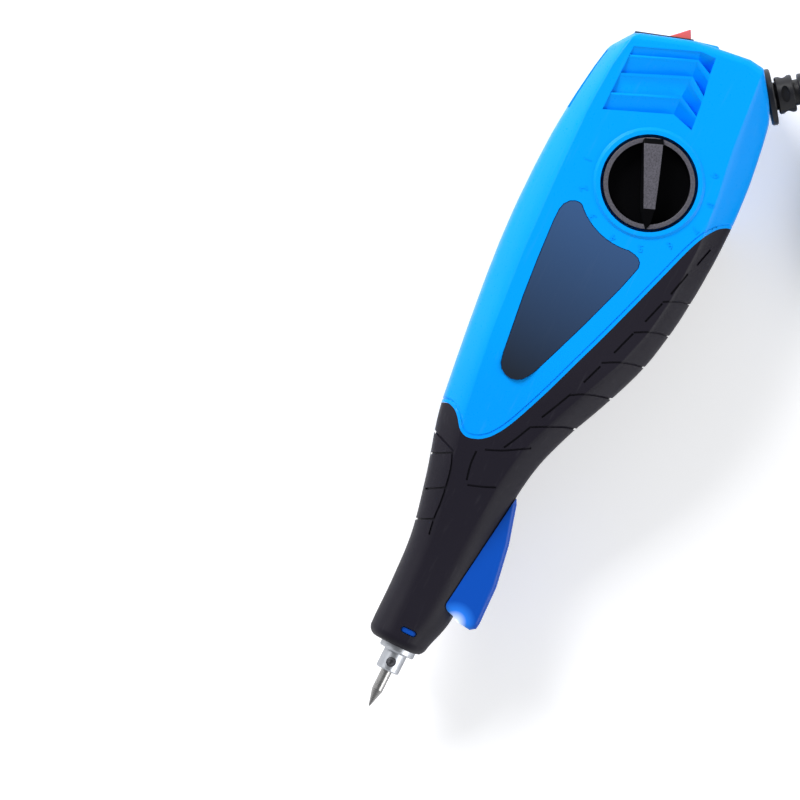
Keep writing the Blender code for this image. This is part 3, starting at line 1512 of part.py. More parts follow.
def make_tie(parent, floor):
    """A flat band round the turns of the coil."""
    middle = COIL_INNER + COIL_STEP * COIL_LOOPS / 4
    across = COIL_STEP * COIL_LOOPS / 4 + CORD_R + TIE_ROOM
    high = TIE_THICK + GAP + 2 * CORD_R + COIL_CLIMB + TIE_ROOM
    near, far = middle - across, middle + across
    half = TIE_WIDE / 2
    thick = TIE_THICK
    band = block("cord_tie", (near - thick, -half, 0), (far + thick, half, high + thick))
    inside = block("inside", (near, -TIE_WIDE, thick), (far, TIE_WIDE, high))
    combine(band, [inside])
    pushed(band, (COIL_X, COIL_Y, -floor), TIE_ANGLE)
    place(band, switch_black(), parent)


def build():
    clear_scene()
    pen = bpy.data.objects.new("pen_frame", None)
    bpy.context.collection.objects.link(pen)
    make_shell("shell_left", 1, pen)
    make_shell("shell_right", -1, pen)
    make_grip("grip_left", 1, pen)
    make_grip("grip_right", -1, pen)
    make_plate(pen)
    make_hood(pen)
    make_lamp(pen)
    make_lamp_board(pen)
    make_bush(pen)
    make_tip(pen)
    make_chuck(pen)
    make_set_screw(pen)
    make_shaft(pen)
    coil_spring("return_spring", spring_front(), SPRING_LONG, SPRING_R, SPRING_TURNS, pen)
    make_yoke(pen)
    make_pole(pen)
    make_bobbin(pen)
    make_winding(pen)
    make_plunger(pen)
    behind = plunger_rear() + GAP
    coil_spring("buffer_spring", behind, BUFFER_LONG, BUFFER_SPRING_R, BUFFER_TURNS, pen)
    make_follower(pen)
    make_dial(pen)
    make_cam(pen)
    make_cam_screw(pen)
    make_switch(pen)
    make_rocker(pen)
    make_tabs(pen)
    make_relief(pen)
    make_jacket(pen)
    make_clamp(pen)
    make_clamp_screws(pen)
    make_shell_screws(pen)
    make_leads(pen)
    lay_down(pen, CORD_NODES)
    make_cord(pen)


build()
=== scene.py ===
"""Looks of the electric engraving pen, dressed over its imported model."""

import math

import bpy
import numpy as np
from mathutils import Matrix, Vector
from mathutils.geometry import interpolate_bezier


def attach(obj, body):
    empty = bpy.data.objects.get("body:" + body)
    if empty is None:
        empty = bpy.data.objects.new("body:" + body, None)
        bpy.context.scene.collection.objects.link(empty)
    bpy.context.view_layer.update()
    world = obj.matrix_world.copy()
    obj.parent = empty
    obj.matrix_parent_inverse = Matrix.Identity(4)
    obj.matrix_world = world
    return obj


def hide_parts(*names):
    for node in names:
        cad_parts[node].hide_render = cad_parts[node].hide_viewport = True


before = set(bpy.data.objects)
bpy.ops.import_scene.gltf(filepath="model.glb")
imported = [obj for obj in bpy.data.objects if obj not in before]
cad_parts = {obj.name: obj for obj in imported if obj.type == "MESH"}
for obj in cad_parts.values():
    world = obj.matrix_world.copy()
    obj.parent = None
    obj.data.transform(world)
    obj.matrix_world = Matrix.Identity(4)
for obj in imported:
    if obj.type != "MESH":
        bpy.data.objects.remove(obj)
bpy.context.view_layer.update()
MM = 0.001

# Where the pen's own axes stand in the frame: X runs from the point of the tip to the
# rear, Y from the palm side to the finger side, and Z out of the side with the dial.
# Every piece is shaped on these axes, in millimetres, and then laid in its place.
SIDE_Z = 19.0
TABLE_Z = -SIDE_Z
PEN_AT = Vector((-103.434, 13.621, SIDE_Z)) * MM
CLEAR = 30

# Body: both halves of the shell and the soft grips share one outside, which is round
# at the nose and boxy from the palm swell back, with a flat side between two creases.
TOP_EDGE = [
    (10, 9.2), (16, 9.5), (20, 9.8), (30, 9.85), (40, 10.3), (45, 10.9), (50, 11.9),
    (55, 13.1), (60, 14.3), (65, 15.7), (70, 17.2), (76, 18.6), (85, 19.8), (95, 21.1),
    (110, 22.8), (120, 23.7), (130, 24.2), (140, 24.3), (150, 24.1), (160, 23.3),
    (170, 22.0), (178, 20.4), (190, 17.4), (200, 15.0),
]
BOTTOM_EDGE = [
    (10, -5.3), (18, -5.5), (20, -5.8), (22, -6.5), (25, -7.5), (28, -8.1), (35, -8.35),
    (55, -8.5), (65, -9.0), (70, -9.7), (75, -10.8), (80, -12.5), (85, -14.3),
    (90, -16.6), (95, -18.7), (100, -20.7), (105, -22.5), (110, -23.9), (120, -25.7),
    (130, -26.7), (140, -27.2), (150, -27.2), (160, -26.5), (170, -25.1), (180, -23.2),
    (190, -21.0), (200, -18.8),
]
TOP_CREASE = [
    (10, 3.2), (17, 3.2), (30, 3.9), (50, 6.2), (76, 12.3), (85, 13.7), (100, 15.8),
    (120, 17.5), (140, 18.4), (160, 18.9), (176, 18.1), (190, 15.0), (200, 13.0),
]
BOTTOM_CREASE = [
    (10, 0.2), (17, 0.2), (30, -1.2), (50, -2.6), (65, -3.6), (75, -5.2), (85, -8.8),
    (95, -13.0), (105, -17.3), (115, -20.2), (125, -21.6), (140, -22.0), (152, -20.9),
    (165, -18.8), (180, -17.4), (200, -15.5),
]
HALF_THICKNESS = [
    (10, 7.5), (16.6, 7.54), (22, 7.7), (30, 8.0), (40, 8.7), (50, 9.9), (60, 11.8),
    (70, 14.0), (80, 16.2), (88, 17.8), (94, 18.6), (100, 19.0), (200, 19.0),
]
REAR_FACE = [
    (-27.9, 173.5), (-25.0, 176.3), (-16.3, 187.6), (-14.3, 188.4), (-4.4, 187.1),
    (2.5, 186.1), (16.7, 181.4), (19.4, 178.0), (22.0, 176.5), (25.8, 175.2),
]
NOSE_FRONT = 16.63
NOSE_ROUND = 2.4
NOSE_LEANS = (0, 20, 40, 60, 78)
REAR_ROUND = 2.2
REAR_LEANS = (0, 15, 30, 45, 60, 75, 90)
REAR_FROM = 160.0
BODY_STEP = 1.4
BLEND_FROM = 30.0
BLEND_TO = 68.0
CREASE_MOST = 0.85
CREASE_STEP = 0.35
SIDE_POINTS = 9
CHAMFER_LEANS = (90, 83, 76, 69, 62, 55, 48, 41, 34, 27, 20, 13, 6, 0)
CHAMFER = [
    (1.0, 0.0), (1.0, 0.16), (0.998, 0.31), (0.99, 0.44), (0.97, 0.54), (0.93, 0.61),
    (0.86, 0.67), (0.76, 0.722), (0.64, 0.775), (0.51, 0.829), (0.38, 0.879),
    (0.25, 0.926), (0.11, 0.968), (0.0, 0.9945),
]


SOFTEN = 4.0


def read(points, where):
    """Reads a table of points at one place, with its corners softened."""
    spread = np.linspace(-SOFTEN, SOFTEN, 9)
    weight = 1 + np.cos(np.pi * spread / (SOFTEN * 1.1))
    xs = [p[0] for p in points]
    ys = [p[1] for p in points]
    return float(np.average(np.interp(where + spread, xs, ys), weights=weight))


def section(x, inset):
    """One ring round the body: down the left side from the top edge to the bottom."""
    top = read(TOP_EDGE, x) - inset
    foot = read(BOTTOM_EDGE, x) + inset
    upper = min(read(TOP_CREASE, x), top * CREASE_MOST)
    lower = max(read(BOTTOM_CREASE, x), foot * CREASE_MOST)
    half = read(HALF_THICKNESS, x) - inset
    boxy = min(max((x - BLEND_FROM) / (BLEND_TO - BLEND_FROM), 0), 1)
    ring = []
    for lean, (high, wide) in zip(CHAMFER_LEANS, CHAMFER):
        turn = math.radians(lean)
        rise = math.sin(turn) * (1 - boxy) + high * boxy
        out = math.cos(turn) * (1 - boxy) + wide * boxy
        ring.append((upper + (top - upper) * rise, half * out))
    near = min(CREASE_STEP, (upper - lower) / 10)
    side = [(y, half) for y in np.linspace(upper - near, lower + near, SIDE_POINTS)]
    below = [(lower + (foot - lower) * (y - upper) / (top - upper), z) for y, z in ring[::-1]]
    return ring + side + below


def body_ring(x, inset, lean=0.0, behind=0.0):
    """A flat ring, or one that leans over with the rear face."""
    heights, places = zip(*REAR_FACE)
    points = []
    for i, (y, z) in enumerate(section(x, inset)):
        place = x
        if lean:
            for _ in range(6):
                rear = np.interp(y, heights, places)
                place = x + (rear - behind - x) * lean
                y, z = section(place, inset)[i]
        points.append((place, y, z))
    return points + [(a, b, -c) for a, b, c in points[-2:0:-1]]


def body(name, inset=0.0, step=BODY_STEP):
    """The closed outside of the whole pen, drawn in by the inset.

    Each end's cap begins and ends with a five-sided face, because the first three points
    at the boxy rear lie on one line and a triangle on them would have no area.
    """
    front = NOSE_FRONT + inset
    rings = []
    for lean in np.radians(NOSE_LEANS):
        ahead = front + NOSE_ROUND * (1 - math.cos(lean))
        rings.append(body_ring(ahead, inset + NOSE_ROUND * (1 - math.sin(lean))))
    rings += [body_ring(x, inset) for x in np.arange(front + NOSE_ROUND, REAR_FROM, step)]
    for lean in np.linspace(0.08, 0.9, 9):
        rings.append(body_ring(REAR_FROM, inset, lean, inset + REAR_ROUND))
    for lean in np.radians(REAR_LEANS):
        drawn = inset + REAR_ROUND * (1 - math.cos(lean))
        behind = inset + REAR_ROUND * (1 - math.sin(lean))
        rings.append(body_ring(REAR_FROM, drawn, 1.0, behind))
    count = len(rings[0])
    faces = []
    for i in range(len(rings) - 1):
        for j in range(count):
            k = (j + 1) % count
            faces.append((i * count + j, i * count + k, (i + 1) * count + k, (i + 1) * count + j))
    half = count // 2
    for start in (0, (len(rings) - 1) * count):
        for j in range(1, half - 1):
            first, last = [0] if j == 1 else [], [half] if j == half - 2 else []
            cap = first + [j, j + 1] + last + [count - j - 1, count - j]
            faces.append([start + c for c in cap])
    return drawn_piece(name, [p for ring in rings for p in ring], faces)


def pick(piece):
    """Makes a piece the one that the next operator works on."""
    bpy.ops.object.select_all(action="DESELECT")
    piece.select_set(True)
    bpy.context.view_layer.objects.active = piece


def edit(piece):
    """Opens a piece in edit mode with all of it selected."""
    pick(piece)
    bpy.ops.object.mode_set(mode="EDIT")
    bpy.ops.mesh.select_all(action="SELECT")


def close_edit():
    bpy.ops.object.mode_set(mode="OBJECT")


def placed(name, data):
    """A new object in the scene for a mesh, a curve, a lamp or a camera."""
    made = bpy.data.objects.new(name, data)
    bpy.context.collection.objects.link(made)
    return made


def drawn_piece(name, points, faces):
    """A piece from points in millimetres, with its faces turned outwards."""
    mesh = bpy.data.meshes.new(name)
    mesh.from_pydata([Vector(p) * MM for p in points], [], faces)
    piece = placed(name, mesh)
    edit(piece)
    bpy.ops.mesh.normals_make_consistent(inside=False)
    close_edit()
    return piece


def block(name, outline, low, high, corner=0.0):
    """A flat outline, with its corners rounded if asked, drawn up between two heights."""
    mesh = bpy.data.meshes.new(name)
    mesh.from_pydata([Vector((x, y, low)) * MM for x, y in outline], [], [range(len(outline))])
    piece = placed(name, mesh)
    edit(piece)
    if corner:
        bpy.ops.mesh.bevel(offset=corner * MM, segments=6, affect="VERTICES")
        bpy.ops.mesh.select_all(action="SELECT")
    bpy.ops.mesh.extrude_region_move(TRANSFORM_OT_translate={"value": (0, 0, (high - low) * MM)})
    bpy.ops.mesh.select_all(action="SELECT")
    bpy.ops.mesh.normals_make_consistent(inside=False)
    close_edit()
    return piece


def lathe(name, profile, sides=48):
    """A round piece turned along X from its profile of places and radii."""
    start, radius = profile[0]
    bpy.ops.object.select_all(action="DESELECT")
    bpy.ops.mesh.primitive_circle_add(vertices=sides, radius=radius * MM, fill_type="NGON")
    piece = bpy.context.object
    piece.name = piece.data.name = name
    bpy.ops.object.mode_set(mode="EDIT")
    for (x0, r0), (x1, r1) in zip(profile, profile[1:]):
        rise = (x1 - x0) * MM
        bpy.ops.mesh.extrude_region_move(TRANSFORM_OT_translate={"value": (0, 0, rise)})
        middle = (0, 0, (x1 - start) * MM)
        bpy.ops.transform.resize(value=(r1 / r0, r1 / r0, 1), center_override=middle)
    bpy.ops.mesh.select_all(action="SELECT")
    bpy.ops.mesh.normals_make_consistent(inside=False)
    close_edit()
    to_start = Matrix.Translation((0, 0, start * MM))
    piece.data.transform(Matrix.Rotation(math.pi / 2, 4, "Y") @ to_start)
    return piece


def rectangle(left, right, low, high):
    """The corners of a plain outline."""
    return [(left, low), (right, low), (right, high), (left, high)]


def beam(name, rear, front, half_wide, half_high):
    """A plain block along X, as wide and as high on both sides of the axis."""
    outline = rectangle(rear, front, -half_wide, half_wide)
    return block(name, outline, -half_high, half_high)


def moved(piece, at=(0, 0, 0), turn=0.0, about="Z"):
    """Turns a mesh about the pen's origin by an angle in degrees and moves it."""
    place = Matrix.Translation(Vector(at) * MM) @ Matrix.Rotation(math.radians(turn), 4, about)
    piece.data.transform(place)
    return piece


def carve(piece, tool, operation="DIFFERENCE"):
    """Cuts a tool from a piece, or joins it on, and throws the tool away."""
    pick(piece)
    step = piece.modifiers.new("Carve", "BOOLEAN")
    step.operation = operation
    step.solver = "EXACT"
    step.object = tool
    bpy.ops.object.modifier_apply(modifier=step.name)
    bpy.data.objects.remove(tool)
    return piece


def twin(piece, name):
    """A copy of a piece with a mesh of its own."""
    copy = piece.copy()
    copy.data = piece.data.copy()
    copy.name = copy.data.name = name
    bpy.context.collection.objects.link(copy)
    return copy


def round_edges(piece, width, segments=3, angle=40):
    """Rounds the sharp edges of a piece."""
    pick(piece)
    step = piece.modifiers.new("Soft edges", "BEVEL")
    step.width = width * MM
    step.segments = segments
    step.limit_method = "ANGLE"
    step.angle_limit = math.radians(angle)
    bpy.ops.object.modifier_apply(modifier=step.name)
    return piece


def widened(outline, by):
    """The outline with each of its sides moved outwards."""
    area = sum(a[0] * b[1] - b[0] * a[1] for a, b in zip(outline, outline[1:] + outline[:1]))
    side = math.copysign(by, area)
    wide = []
    for i, here in enumerate(outline):
        before = Vector(here) - Vector(outline[i - 1])
        after = Vector(outline[(i + 1) % len(outline)]) - Vector(here)
        one = Vector((before.y, -before.x)).normalized()
        two = Vector((after.y, -after.x)).normalized()
        out = one + two
        wide.append(tuple(Vector(here) + out * side * 2 / out.length_squared))
    return wide


CURVE_STEPS = 5


def curved(points):
    """An open line through points in smooth curves."""
    line = []
    for i in range(len(points) - 1):
        before, here = Vector(points[max(i - 1, 0)]), Vector(points[i])
        there, after = Vector(points[i + 1]), Vector(points[min(i + 2, len(points) - 1)])
        for t in np.linspace(0, 1, CURVE_STEPS, endpoint=False):
            a = 2 * here + (there - before) * t
            b = (2 * before - 5 * here + 4 * there - after) * t * t
            c = (3 * here - before - 3 * there + after) * t ** 3
            line.append(tuple((a + b + c) / 2))
    return line + [tuple(points[-1])]


SEAM_HALF = 0.15
ALL_ROUND = rectangle(-10, 230, -60, 60)


def half_space(side):
    """All that lies on one side of the seam between the halves."""
    low, high = (SEAM_HALF, CLEAR) if side > 0 else (-CLEAR, -SEAM_HALF)
    return block("half", ALL_ROUND, low, high)


def merged_copy(node_name, name):
    """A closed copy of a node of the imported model, on the pen's own axes."""
    copy = twin(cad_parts[node_name], name)
    copy.parent = None
    copy.matrix_world = Matrix.Identity(4)
    copy.data.transform(Matrix.Translation(-PEN_AT))
    edit(copy)
    bpy.ops.mesh.remove_doubles(threshold=0.002 * MM)
    close_edit()
    return copy


FLAT_NORMAL = 0.97
FLAT_FROM = 55.0


def crease_sides(piece):
    """Makes the edges of the pen's flat sides sharp, so that they shade flat."""
    seen_by = {}
    for face in piece.data.polygons:
        level = abs(face.normal.z) > FLAT_NORMAL
        flat = level and face.center.x > PEN_AT.x + FLAT_FROM * MM
        for key in face.edge_keys:
            seen_by.setdefault(key, set()).add(flat)
    for edge in piece.data.edges:
        if len(seen_by[edge.key]) == 2:
            edge.use_edge_sharp = True


def settle(piece, rides_on, slot, material, *nodes, smooth=32, flat_sides=False):
    """Lays a finished piece in its place, with its finish and the nodes it stands for."""
    piece.data.transform(Matrix.Translation(PEN_AT))
    pick(piece)
    bpy.ops.object.shade_smooth_by_angle(angle=math.radians(smooth))
    if flat_sides:
        crease_sides(piece)
    step = piece.modifiers.new("Even faces", "WEIGHTED_NORMAL")
    step.keep_sharp = True
    bpy.ops.object.modifier_apply(modifier=step.name)
    piece.data.materials.clear()
    piece.data.materials.append(material)
    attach(piece, rides_on)
    if nodes:
        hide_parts(*nodes)
    return piece


def new_group(name, **values):
    """A shader group that makes a colour, a roughness and a height of a colour and values."""
    tree = bpy.data.node_groups.new(name, "ShaderNodeTree")
    new_socket = tree.interface.new_socket
    colour = new_socket("Colour", in_out="INPUT", socket_type="NodeSocketColor")
    colour.default_value = (0.5, 0.5, 0.5, 1)
    for label, value in values.items():
        label = label.replace("_", " ")
        new_socket(label, in_out="INPUT", socket_type="NodeSocketFloat").default_value = value
    new_socket("Colour", in_out="OUTPUT", socket_type="NodeSocketColor")
    new_socket("Roughness", in_out="OUTPUT", socket_type="NodeSocketFloat")
    new_socket("Height", in_out="OUTPUT", socket_type="NodeSocketFloat")
    return tree, tree.nodes.new("NodeGroupInput"), tree.nodes.new("NodeGroupOutput")


def node(tree, kind, links=(), **settings):
    """Adds a node, sets its properties or inputs, and links its inputs."""
    made = tree.nodes.new(kind)
    for label, value in settings.items():
        if hasattr(made, label):
            setattr(made, label, value)
        else:
            made.inputs[label.replace("_", " ")].default_value = value
    for label, source in links:
        tree.links.new(source, made.inputs[label])
    return made


def combined(tree, operation, one, two):
    """What a math node makes of two linked values."""
    return node(tree, "ShaderNodeMath", [(0, one), (1, two)], operation=operation).outputs[0]


def mixed(tree, share, colour, other):
    """A linked colour, mixed with a plain one by a linked share."""
    made = node(tree, "ShaderNodeMix", [(0, share), (6, colour)], data_type="RGBA")
    made.inputs[7].default_value = (*other, 1)
    return made.outputs[2]


def moulded_group():
    """Moulded surface: broad soft patches of tone, fine grain and light scuffs."""
    tree, given, out = new_group(
        "Moulded surface", Tone=0.06, Patch_Scale=30.0, Grain_Scale=1800.0, Roughness=0.4,
        Rough_Spread=0.08, Scuffs=0.1,
    )
    at = node(tree, "ShaderNodeTexCoord").outputs["Object"]
    patch = node(
        tree, "ShaderNodeTexNoise",
        [("Vector", at), ("Scale", given.outputs["Patch Scale"])], Detail=3.0,
    )
    grain = node(
        tree, "ShaderNodeTexNoise",
        [("Vector", at), ("Scale", given.outputs["Grain Scale"])], Detail=2.0,
    )
    stretch = node(
        tree, "ShaderNodeMapping", [("Vector", at)], Scale=(60, 900, 900), Rotation=(0.3, 0.2, 0.5),
    )
    streak = node(
        tree, "ShaderNodeTexNoise", [("Vector", stretch.outputs[0])], Scale=1.0, Detail=2.0,
    )
    scuff = node(
        tree, "ShaderNodeMapRange", [("Value", streak.outputs["Fac"])],
        From_Min=0.62, From_Max=0.78,
    )
    scuffs = combined(tree, "MULTIPLY", scuff.outputs[0], given.outputs["Scuffs"])
    shade = combined(tree, "MULTIPLY", patch.outputs["Fac"], given.outputs["Tone"])
    dark = mixed(tree, shade, given.outputs["Colour"], (0, 0, 0))
    pale = mixed(tree, scuffs, dark, (0.8, 0.82, 0.85))
    spread = combined(tree, "MULTIPLY", grain.outputs["Fac"], given.outputs["Rough Spread"])
    rough = combined(tree, "ADD", spread, given.outputs["Roughness"])
    tree.links.new(pale, out.inputs["Colour"])
    tree.links.new(combined(tree, "ADD", rough, scuffs), out.inputs["Roughness"])
    tree.links.new(grain.outputs["Fac"], out.inputs["Height"])
    return tree


def turned_group():
    """Turned metal: fine marks round the pen's axis and darker stains."""
    tree, given, out = new_group(
        "Turned metal", Stain=0.25, Mark_Scale=2500.0, Roughness=0.25, Rough_Spread=0.15,
    )
    at = node(tree, "ShaderNodeTexCoord").outputs["Object"]
    along = node(tree, "ShaderNodeMapping", [("Vector", at)], Scale=(1, 0.02, 0.02))
    marks = node(
        tree, "ShaderNodeTexNoise",
        [("Vector", along.outputs[0]), ("Scale", given.outputs["Mark Scale"])], Detail=3.0,
    )
    stain = node(tree, "ShaderNodeTexNoise", [("Vector", at)], Scale=220.0, Detail=4.0)
    shade = combined(tree, "MULTIPLY", stain.outputs["Fac"], given.outputs["Stain"])
    dark = mixed(tree, shade, given.outputs["Colour"], (0.03, 0.03, 0.03))
    spread = combined(tree, "MULTIPLY", marks.outputs["Fac"], given.outputs["Rough Spread"])
    rough = combined(tree, "ADD", spread, given.outputs["Roughness"])
    tree.links.new(dark, out.inputs["Colour"])
    tree.links.new(rough, out.inputs["Roughness"])
    tree.links.new(marks.outputs["Fac"], out.inputs["Height"])
    return tree


MOULDED = moulded_group()
TURNED = turned_group()


def finish_of(name, group, colour, bump=0.2, deep=0.00002, metallic=0.0, **values):
    """A material whose colour, roughness and grain come from a group."""
    material = bpy.data.materials.new(name)
    material.use_nodes = True
    tree = material.node_tree
    shader = tree.nodes["Principled BSDF"]
    shader.inputs["Metallic"].default_value = metallic
    effect = tree.nodes.new("ShaderNodeGroup")
    effect.node_tree = group
    effect.inputs["Colour"].default_value = (*colour, 1)
    for label, value in values.items():
        effect.inputs[label.replace("_", " ")].default_value = value
    rise = tree.nodes.new("ShaderNodeBump")
    rise.inputs["Strength"].default_value = bump
    rise.inputs["Distance"].default_value = deep
    tree.links.new(effect.outputs["Height"], rise.inputs["Height"])
    tree.links.new(effect.outputs["Colour"], shader.inputs["Base Color"])
    tree.links.new(effect.outputs["Roughness"], shader.inputs["Roughness"])
    tree.links.new(rise.outputs["Normal"], shader.inputs["Normal"])
    return material


def set_shader(material, **values):
    """Sets plain values of a material's own shader."""
    shader = material.node_tree.nodes["Principled BSDF"]
    for label, value in values.items():
        shader.inputs[label.replace("_", " ")].default_value = value
    return material


# Blue shell: two halves moulded in glossy blue plastic, 2.2 mm thick, that screw together
# on a seam along the middle. Grips, plate, dial, switch, relief and vents are let into
# them, and the inside keeps the bosses and ribs of the solid halves.
BLUE = finish_of(
    "Blue moulded plastic", MOULDED, (0.0, 0.335, 1.0), bump=0.12, Tone=0.05,
    Roughness=0.24, Rough_Spread=0.1, Scuffs=0.008,
)
set_shader(BLUE, Specular_IOR_Level=0.12)
SEAM = [
    (76.6, 18.8), (77.2, 17.0), (76.5, 15.0), (75.0, 13.4), (73.0, 11.9), (72.0, 10.5),
    (71.7, 9.0), (72.1, 7.3), (73.0, 5.5), (75.2, 3.2), (80.0, 0.4), (90.0, -3.6),
    (100.0, -7.1), (110.0, -10.6), (120.0, -13.9), (130.0, -17.1), (140.0, -20.4),
    (145.3, -23.2), (147.5, -25.6), (148.1, -27.6),
]
seam_outline = curved(SEAM) + [(148.3, -34), (7, -34), (7, 26), (76.4, 26)]
GRIP_THICK = 1.6
GAP = 0.15
SEAM_GAP = 0.04
AXIS_Y = 0.85
DIAL_X, DIAL_Y = 149.012, -3.406
POCKET_R = 12.3
POCKET_FLOOR = 13.4
PLATE = [
    (131.35, -8.0), (130.9, -9.3), (130.0, -10.15), (128.8, -10.4), (127.3, -10.05),
    (122.0, -8.6), (110.0, -4.6), (100.0, -1.0), (94.3, 1.15), (92.2, 2.2), (90.9, 3.2),
    (90.1, 4.4), (89.75, 5.9), (90.0, 7.5), (90.9, 8.9), (92.3, 9.8), (95.0, 10.4),
    (110.0, 12.3), (120.0, 13.2), (130.0, 13.85), (133.2, 13.85), (134.9, 13.4),
    (136.2, 12.4), (136.8, 11.2), (136.95, 10.2),
]
PLATE_R = 17.7
PLATE_SEAT_Z = 17.9
VENT_LINES = [
    [(160.5, 15.4), (167.3, -1.2), (165.7, -7.0)],
    [(165.2, 15.4), (172.2, -1.0), (169.3, -6.6)],
    [(170.7, 15.4), (177.9, -1.2), (174.6, -6.0)],
    [(175.8, 15.4), (182.3, -0.7), (180.3, -4.9)],
    [(178.4, 15.4), (184.6, -0.2), (185.0, -4.3)],
]
SHELL_SCREWS = [
    (68.01, 9.49), (85.91, -8.98), (140.92, 16.51), (135.08, -20.02), (162.02, 17.80),
    (162.97, -19.87),
]


def plate_outline():
    """The name plate's outline: three soft corners and a concave end about the dial."""
    turns = np.radians(np.linspace(134, 190, 12))
    arc = [(DIAL_X + PLATE_R * math.cos(a), DIAL_Y + PLATE_R * math.sin(a)) for a in turns]
    return PLATE + arc


BAYS = len(VENT_LINES) - 1
BAY_LAP = 0.04
BAY_TOP = 23.0
SLAT_SHARES = (0.0, 0.70, 0.86, 1.0)
SLAT_FLOORS = (-2.5, -1.0, -0.5, -0.25)
LAST_FLOORS = (-1.6, -0.55, -0.12, 0.5)
UPPER_SHARE = 0.4
BEND_DROP = 2.6


def louvre_cut(side, bay):
    """One sloped bay of the vent between two bent lines, deep along its near line."""
    points = []
    for share, floor in zip(SLAT_SHARES, LAST_FLOORS if bay == BAYS - 1 else SLAT_FLOORS):
        for row in range(3):
            near, far = Vector(VENT_LINES[bay][row]), Vector(VENT_LINES[bay + 1][row])
            near.x -= BAY_LAP
            x, y = near.lerp(far, share)
            z = SIDE_Z + floor * (UPPER_SHARE if row == 0 and floor < 0 else 1.0)
            if row == 2:
                z -= BEND_DROP * (1 - share) ** 2
            points.append((x, y, side * z))
    points += [(x, y, side * (BAY_TOP + bay)) for x, y, _ in points]
    faces = []
    for i in range(3):
        for a in (3 * i, 3 * i + 1):
            faces.append((a, a + 1, a + 4, a + 3))
            faces.append((a + 12, a + 13, a + 16, a + 15))
        for a in (3 * i, 3 * i + 2):
            faces.append((a, a + 3, a + 15, a + 12))
    for a in (0, 1, 9, 10):
        faces.append((a, a + 1, a + 13, a + 12))
    return drawn_piece("louvre", points, faces)


def post(name, radius, low, high, x, y, sides=48):
    """A plain round post that stands along Z at one place."""
    return moved(lathe_up(name, [(low, radius), (high, radius)], sides), (x, y, 0))


def lathe_up(name, profile, sides=48):
    """A round piece that stands along Z."""
    return moved(lathe(name, profile, sides), turn=-90, about="Y")


def ribbon(points, half):
    """The outline of a narrow strip along a line."""
    line = [Vector(p) for p in curved(points)]
    left, right = [], []
    for i, here in enumerate(line):
        way = (line[min(i + 1, len(line) - 1)] - line[max(i - 1, 0)]).normalized()
        out = Vector((-way.y, way.x)) * half
        left.append(tuple(here + out))
        right.append(tuple(here - out))
    return left + right[::-1]


shell = body("shell_body")
COARSE_STEP = 3.0
black_room = block("black room", widened(seam_outline, SEAM_GAP), -CLEAR, CLEAR)
carve(black_room, body("under grip", GRIP_THICK + GAP, COARSE_STEP))
carve(shell, black_room)
BOSS_OUTLINE = [(176, 17.0), (181.53, 16.45), (186.23, 2.25), (187.8, -4.2), (176, -4.2)]
BOSS_HALF = 15.4
BOSS_ROUND = 1.0
switch_boss = block("switch boss", BOSS_OUTLINE, -BOSS_HALF, BOSS_HALF)
round_edges(switch_boss, BOSS_ROUND, 4)
carve(shell, switch_boss, "UNION")
RING_PROFILE = [
    (17.0, 14.1), (19.02, 14.1), (19.08, 13.98), (19.25, 13.75), (19.42, 13.6),
    (19.55, 13.4), (19.6, 13.1),
]
ring = moved(lathe_up("dial ring", RING_PROFILE, 96), (DIAL_X, DIAL_Y, 0))
carve(shell, ring, "UNION")
for side in (1, -1):
    for bay in range(BAYS):
        carve(shell, louvre_cut(side, bay))
carve(shell, post("pocket", POCKET_R, POCKET_FLOOR, CLEAR, DIAL_X, DIAL_Y, 96))
carve(shell, block("plate seat", widened(plate_outline(), GAP), PLATE_SEAT_Z, CLEAR))
TOP_SLOT = [(157.4, 21.9), (174.4, 19.4), (175.0, 27), (156.8, 27)]
TOP_SLOT_FROM = 6.5
TOP_SLOT_TO = 12.4
for low, high in ((-TOP_SLOT_TO, -TOP_SLOT_FROM), (TOP_SLOT_FROM, TOP_SLOT_TO)):
    carve(shell, block("top slot", TOP_SLOT, low, high))
MOUTH_R = 5.45
BUSH_R = 4.1
MOUTH_DEEP = 1.4
mouth_end = NOSE_FRONT + MOUTH_DEEP
mouth = [(10, MOUTH_R), (mouth_end, MOUTH_R), (mouth_end, BUSH_R), (34, BUSH_R)]
carve(shell, moved(lathe("mouth", mouth), (0, AXIS_Y, 0)))
SWITCH_AT = (184.444, 9.598, 0)
SWITCH_TURN = 18.2
carve(shell, moved(beam("switch hole", -11, 4, 6.9, 4.7), SWITCH_AT, SWITCH_TURN))
RELIEF_AT = (181.91, -20.40, 0)
RELIEF_TURN = -52.7
carve(shell, moved(lathe("relief hole", [(-8, 4.5), (4, 4.5)]), RELIEF_AT, RELIEF_TURN))
LIP = 1.0
LIP_GROOVE_HALF = 0.2
LIP_GROOVE_DEEP = 0.16
lip_side = ribbon(SEAM, LIP)[: CURVE_STEPS * (len(SEAM) - 1) + 1 : CURVE_STEPS]
lip_groove = block("lip groove", ribbon(lip_side, LIP_GROOVE_HALF), -CLEAR, CLEAR)
carve(lip_groove, body("lip skin", LIP_GROOVE_DEEP))
carve(shell, lip_groove)
SCREW_SINK = 3.0
for x, y in SHELL_SCREWS:
    floor_z = SCREW_SINK - read(HALF_THICKNESS, x)
    carve(shell, post("counterbore", 3.2, -CLEAR, floor_z, x, y, 32))
ROOM_INSET = 1.25
VENT_WALL = rectangle(157, 190, -10, 19)
VENT_WALL_Z = 13.2


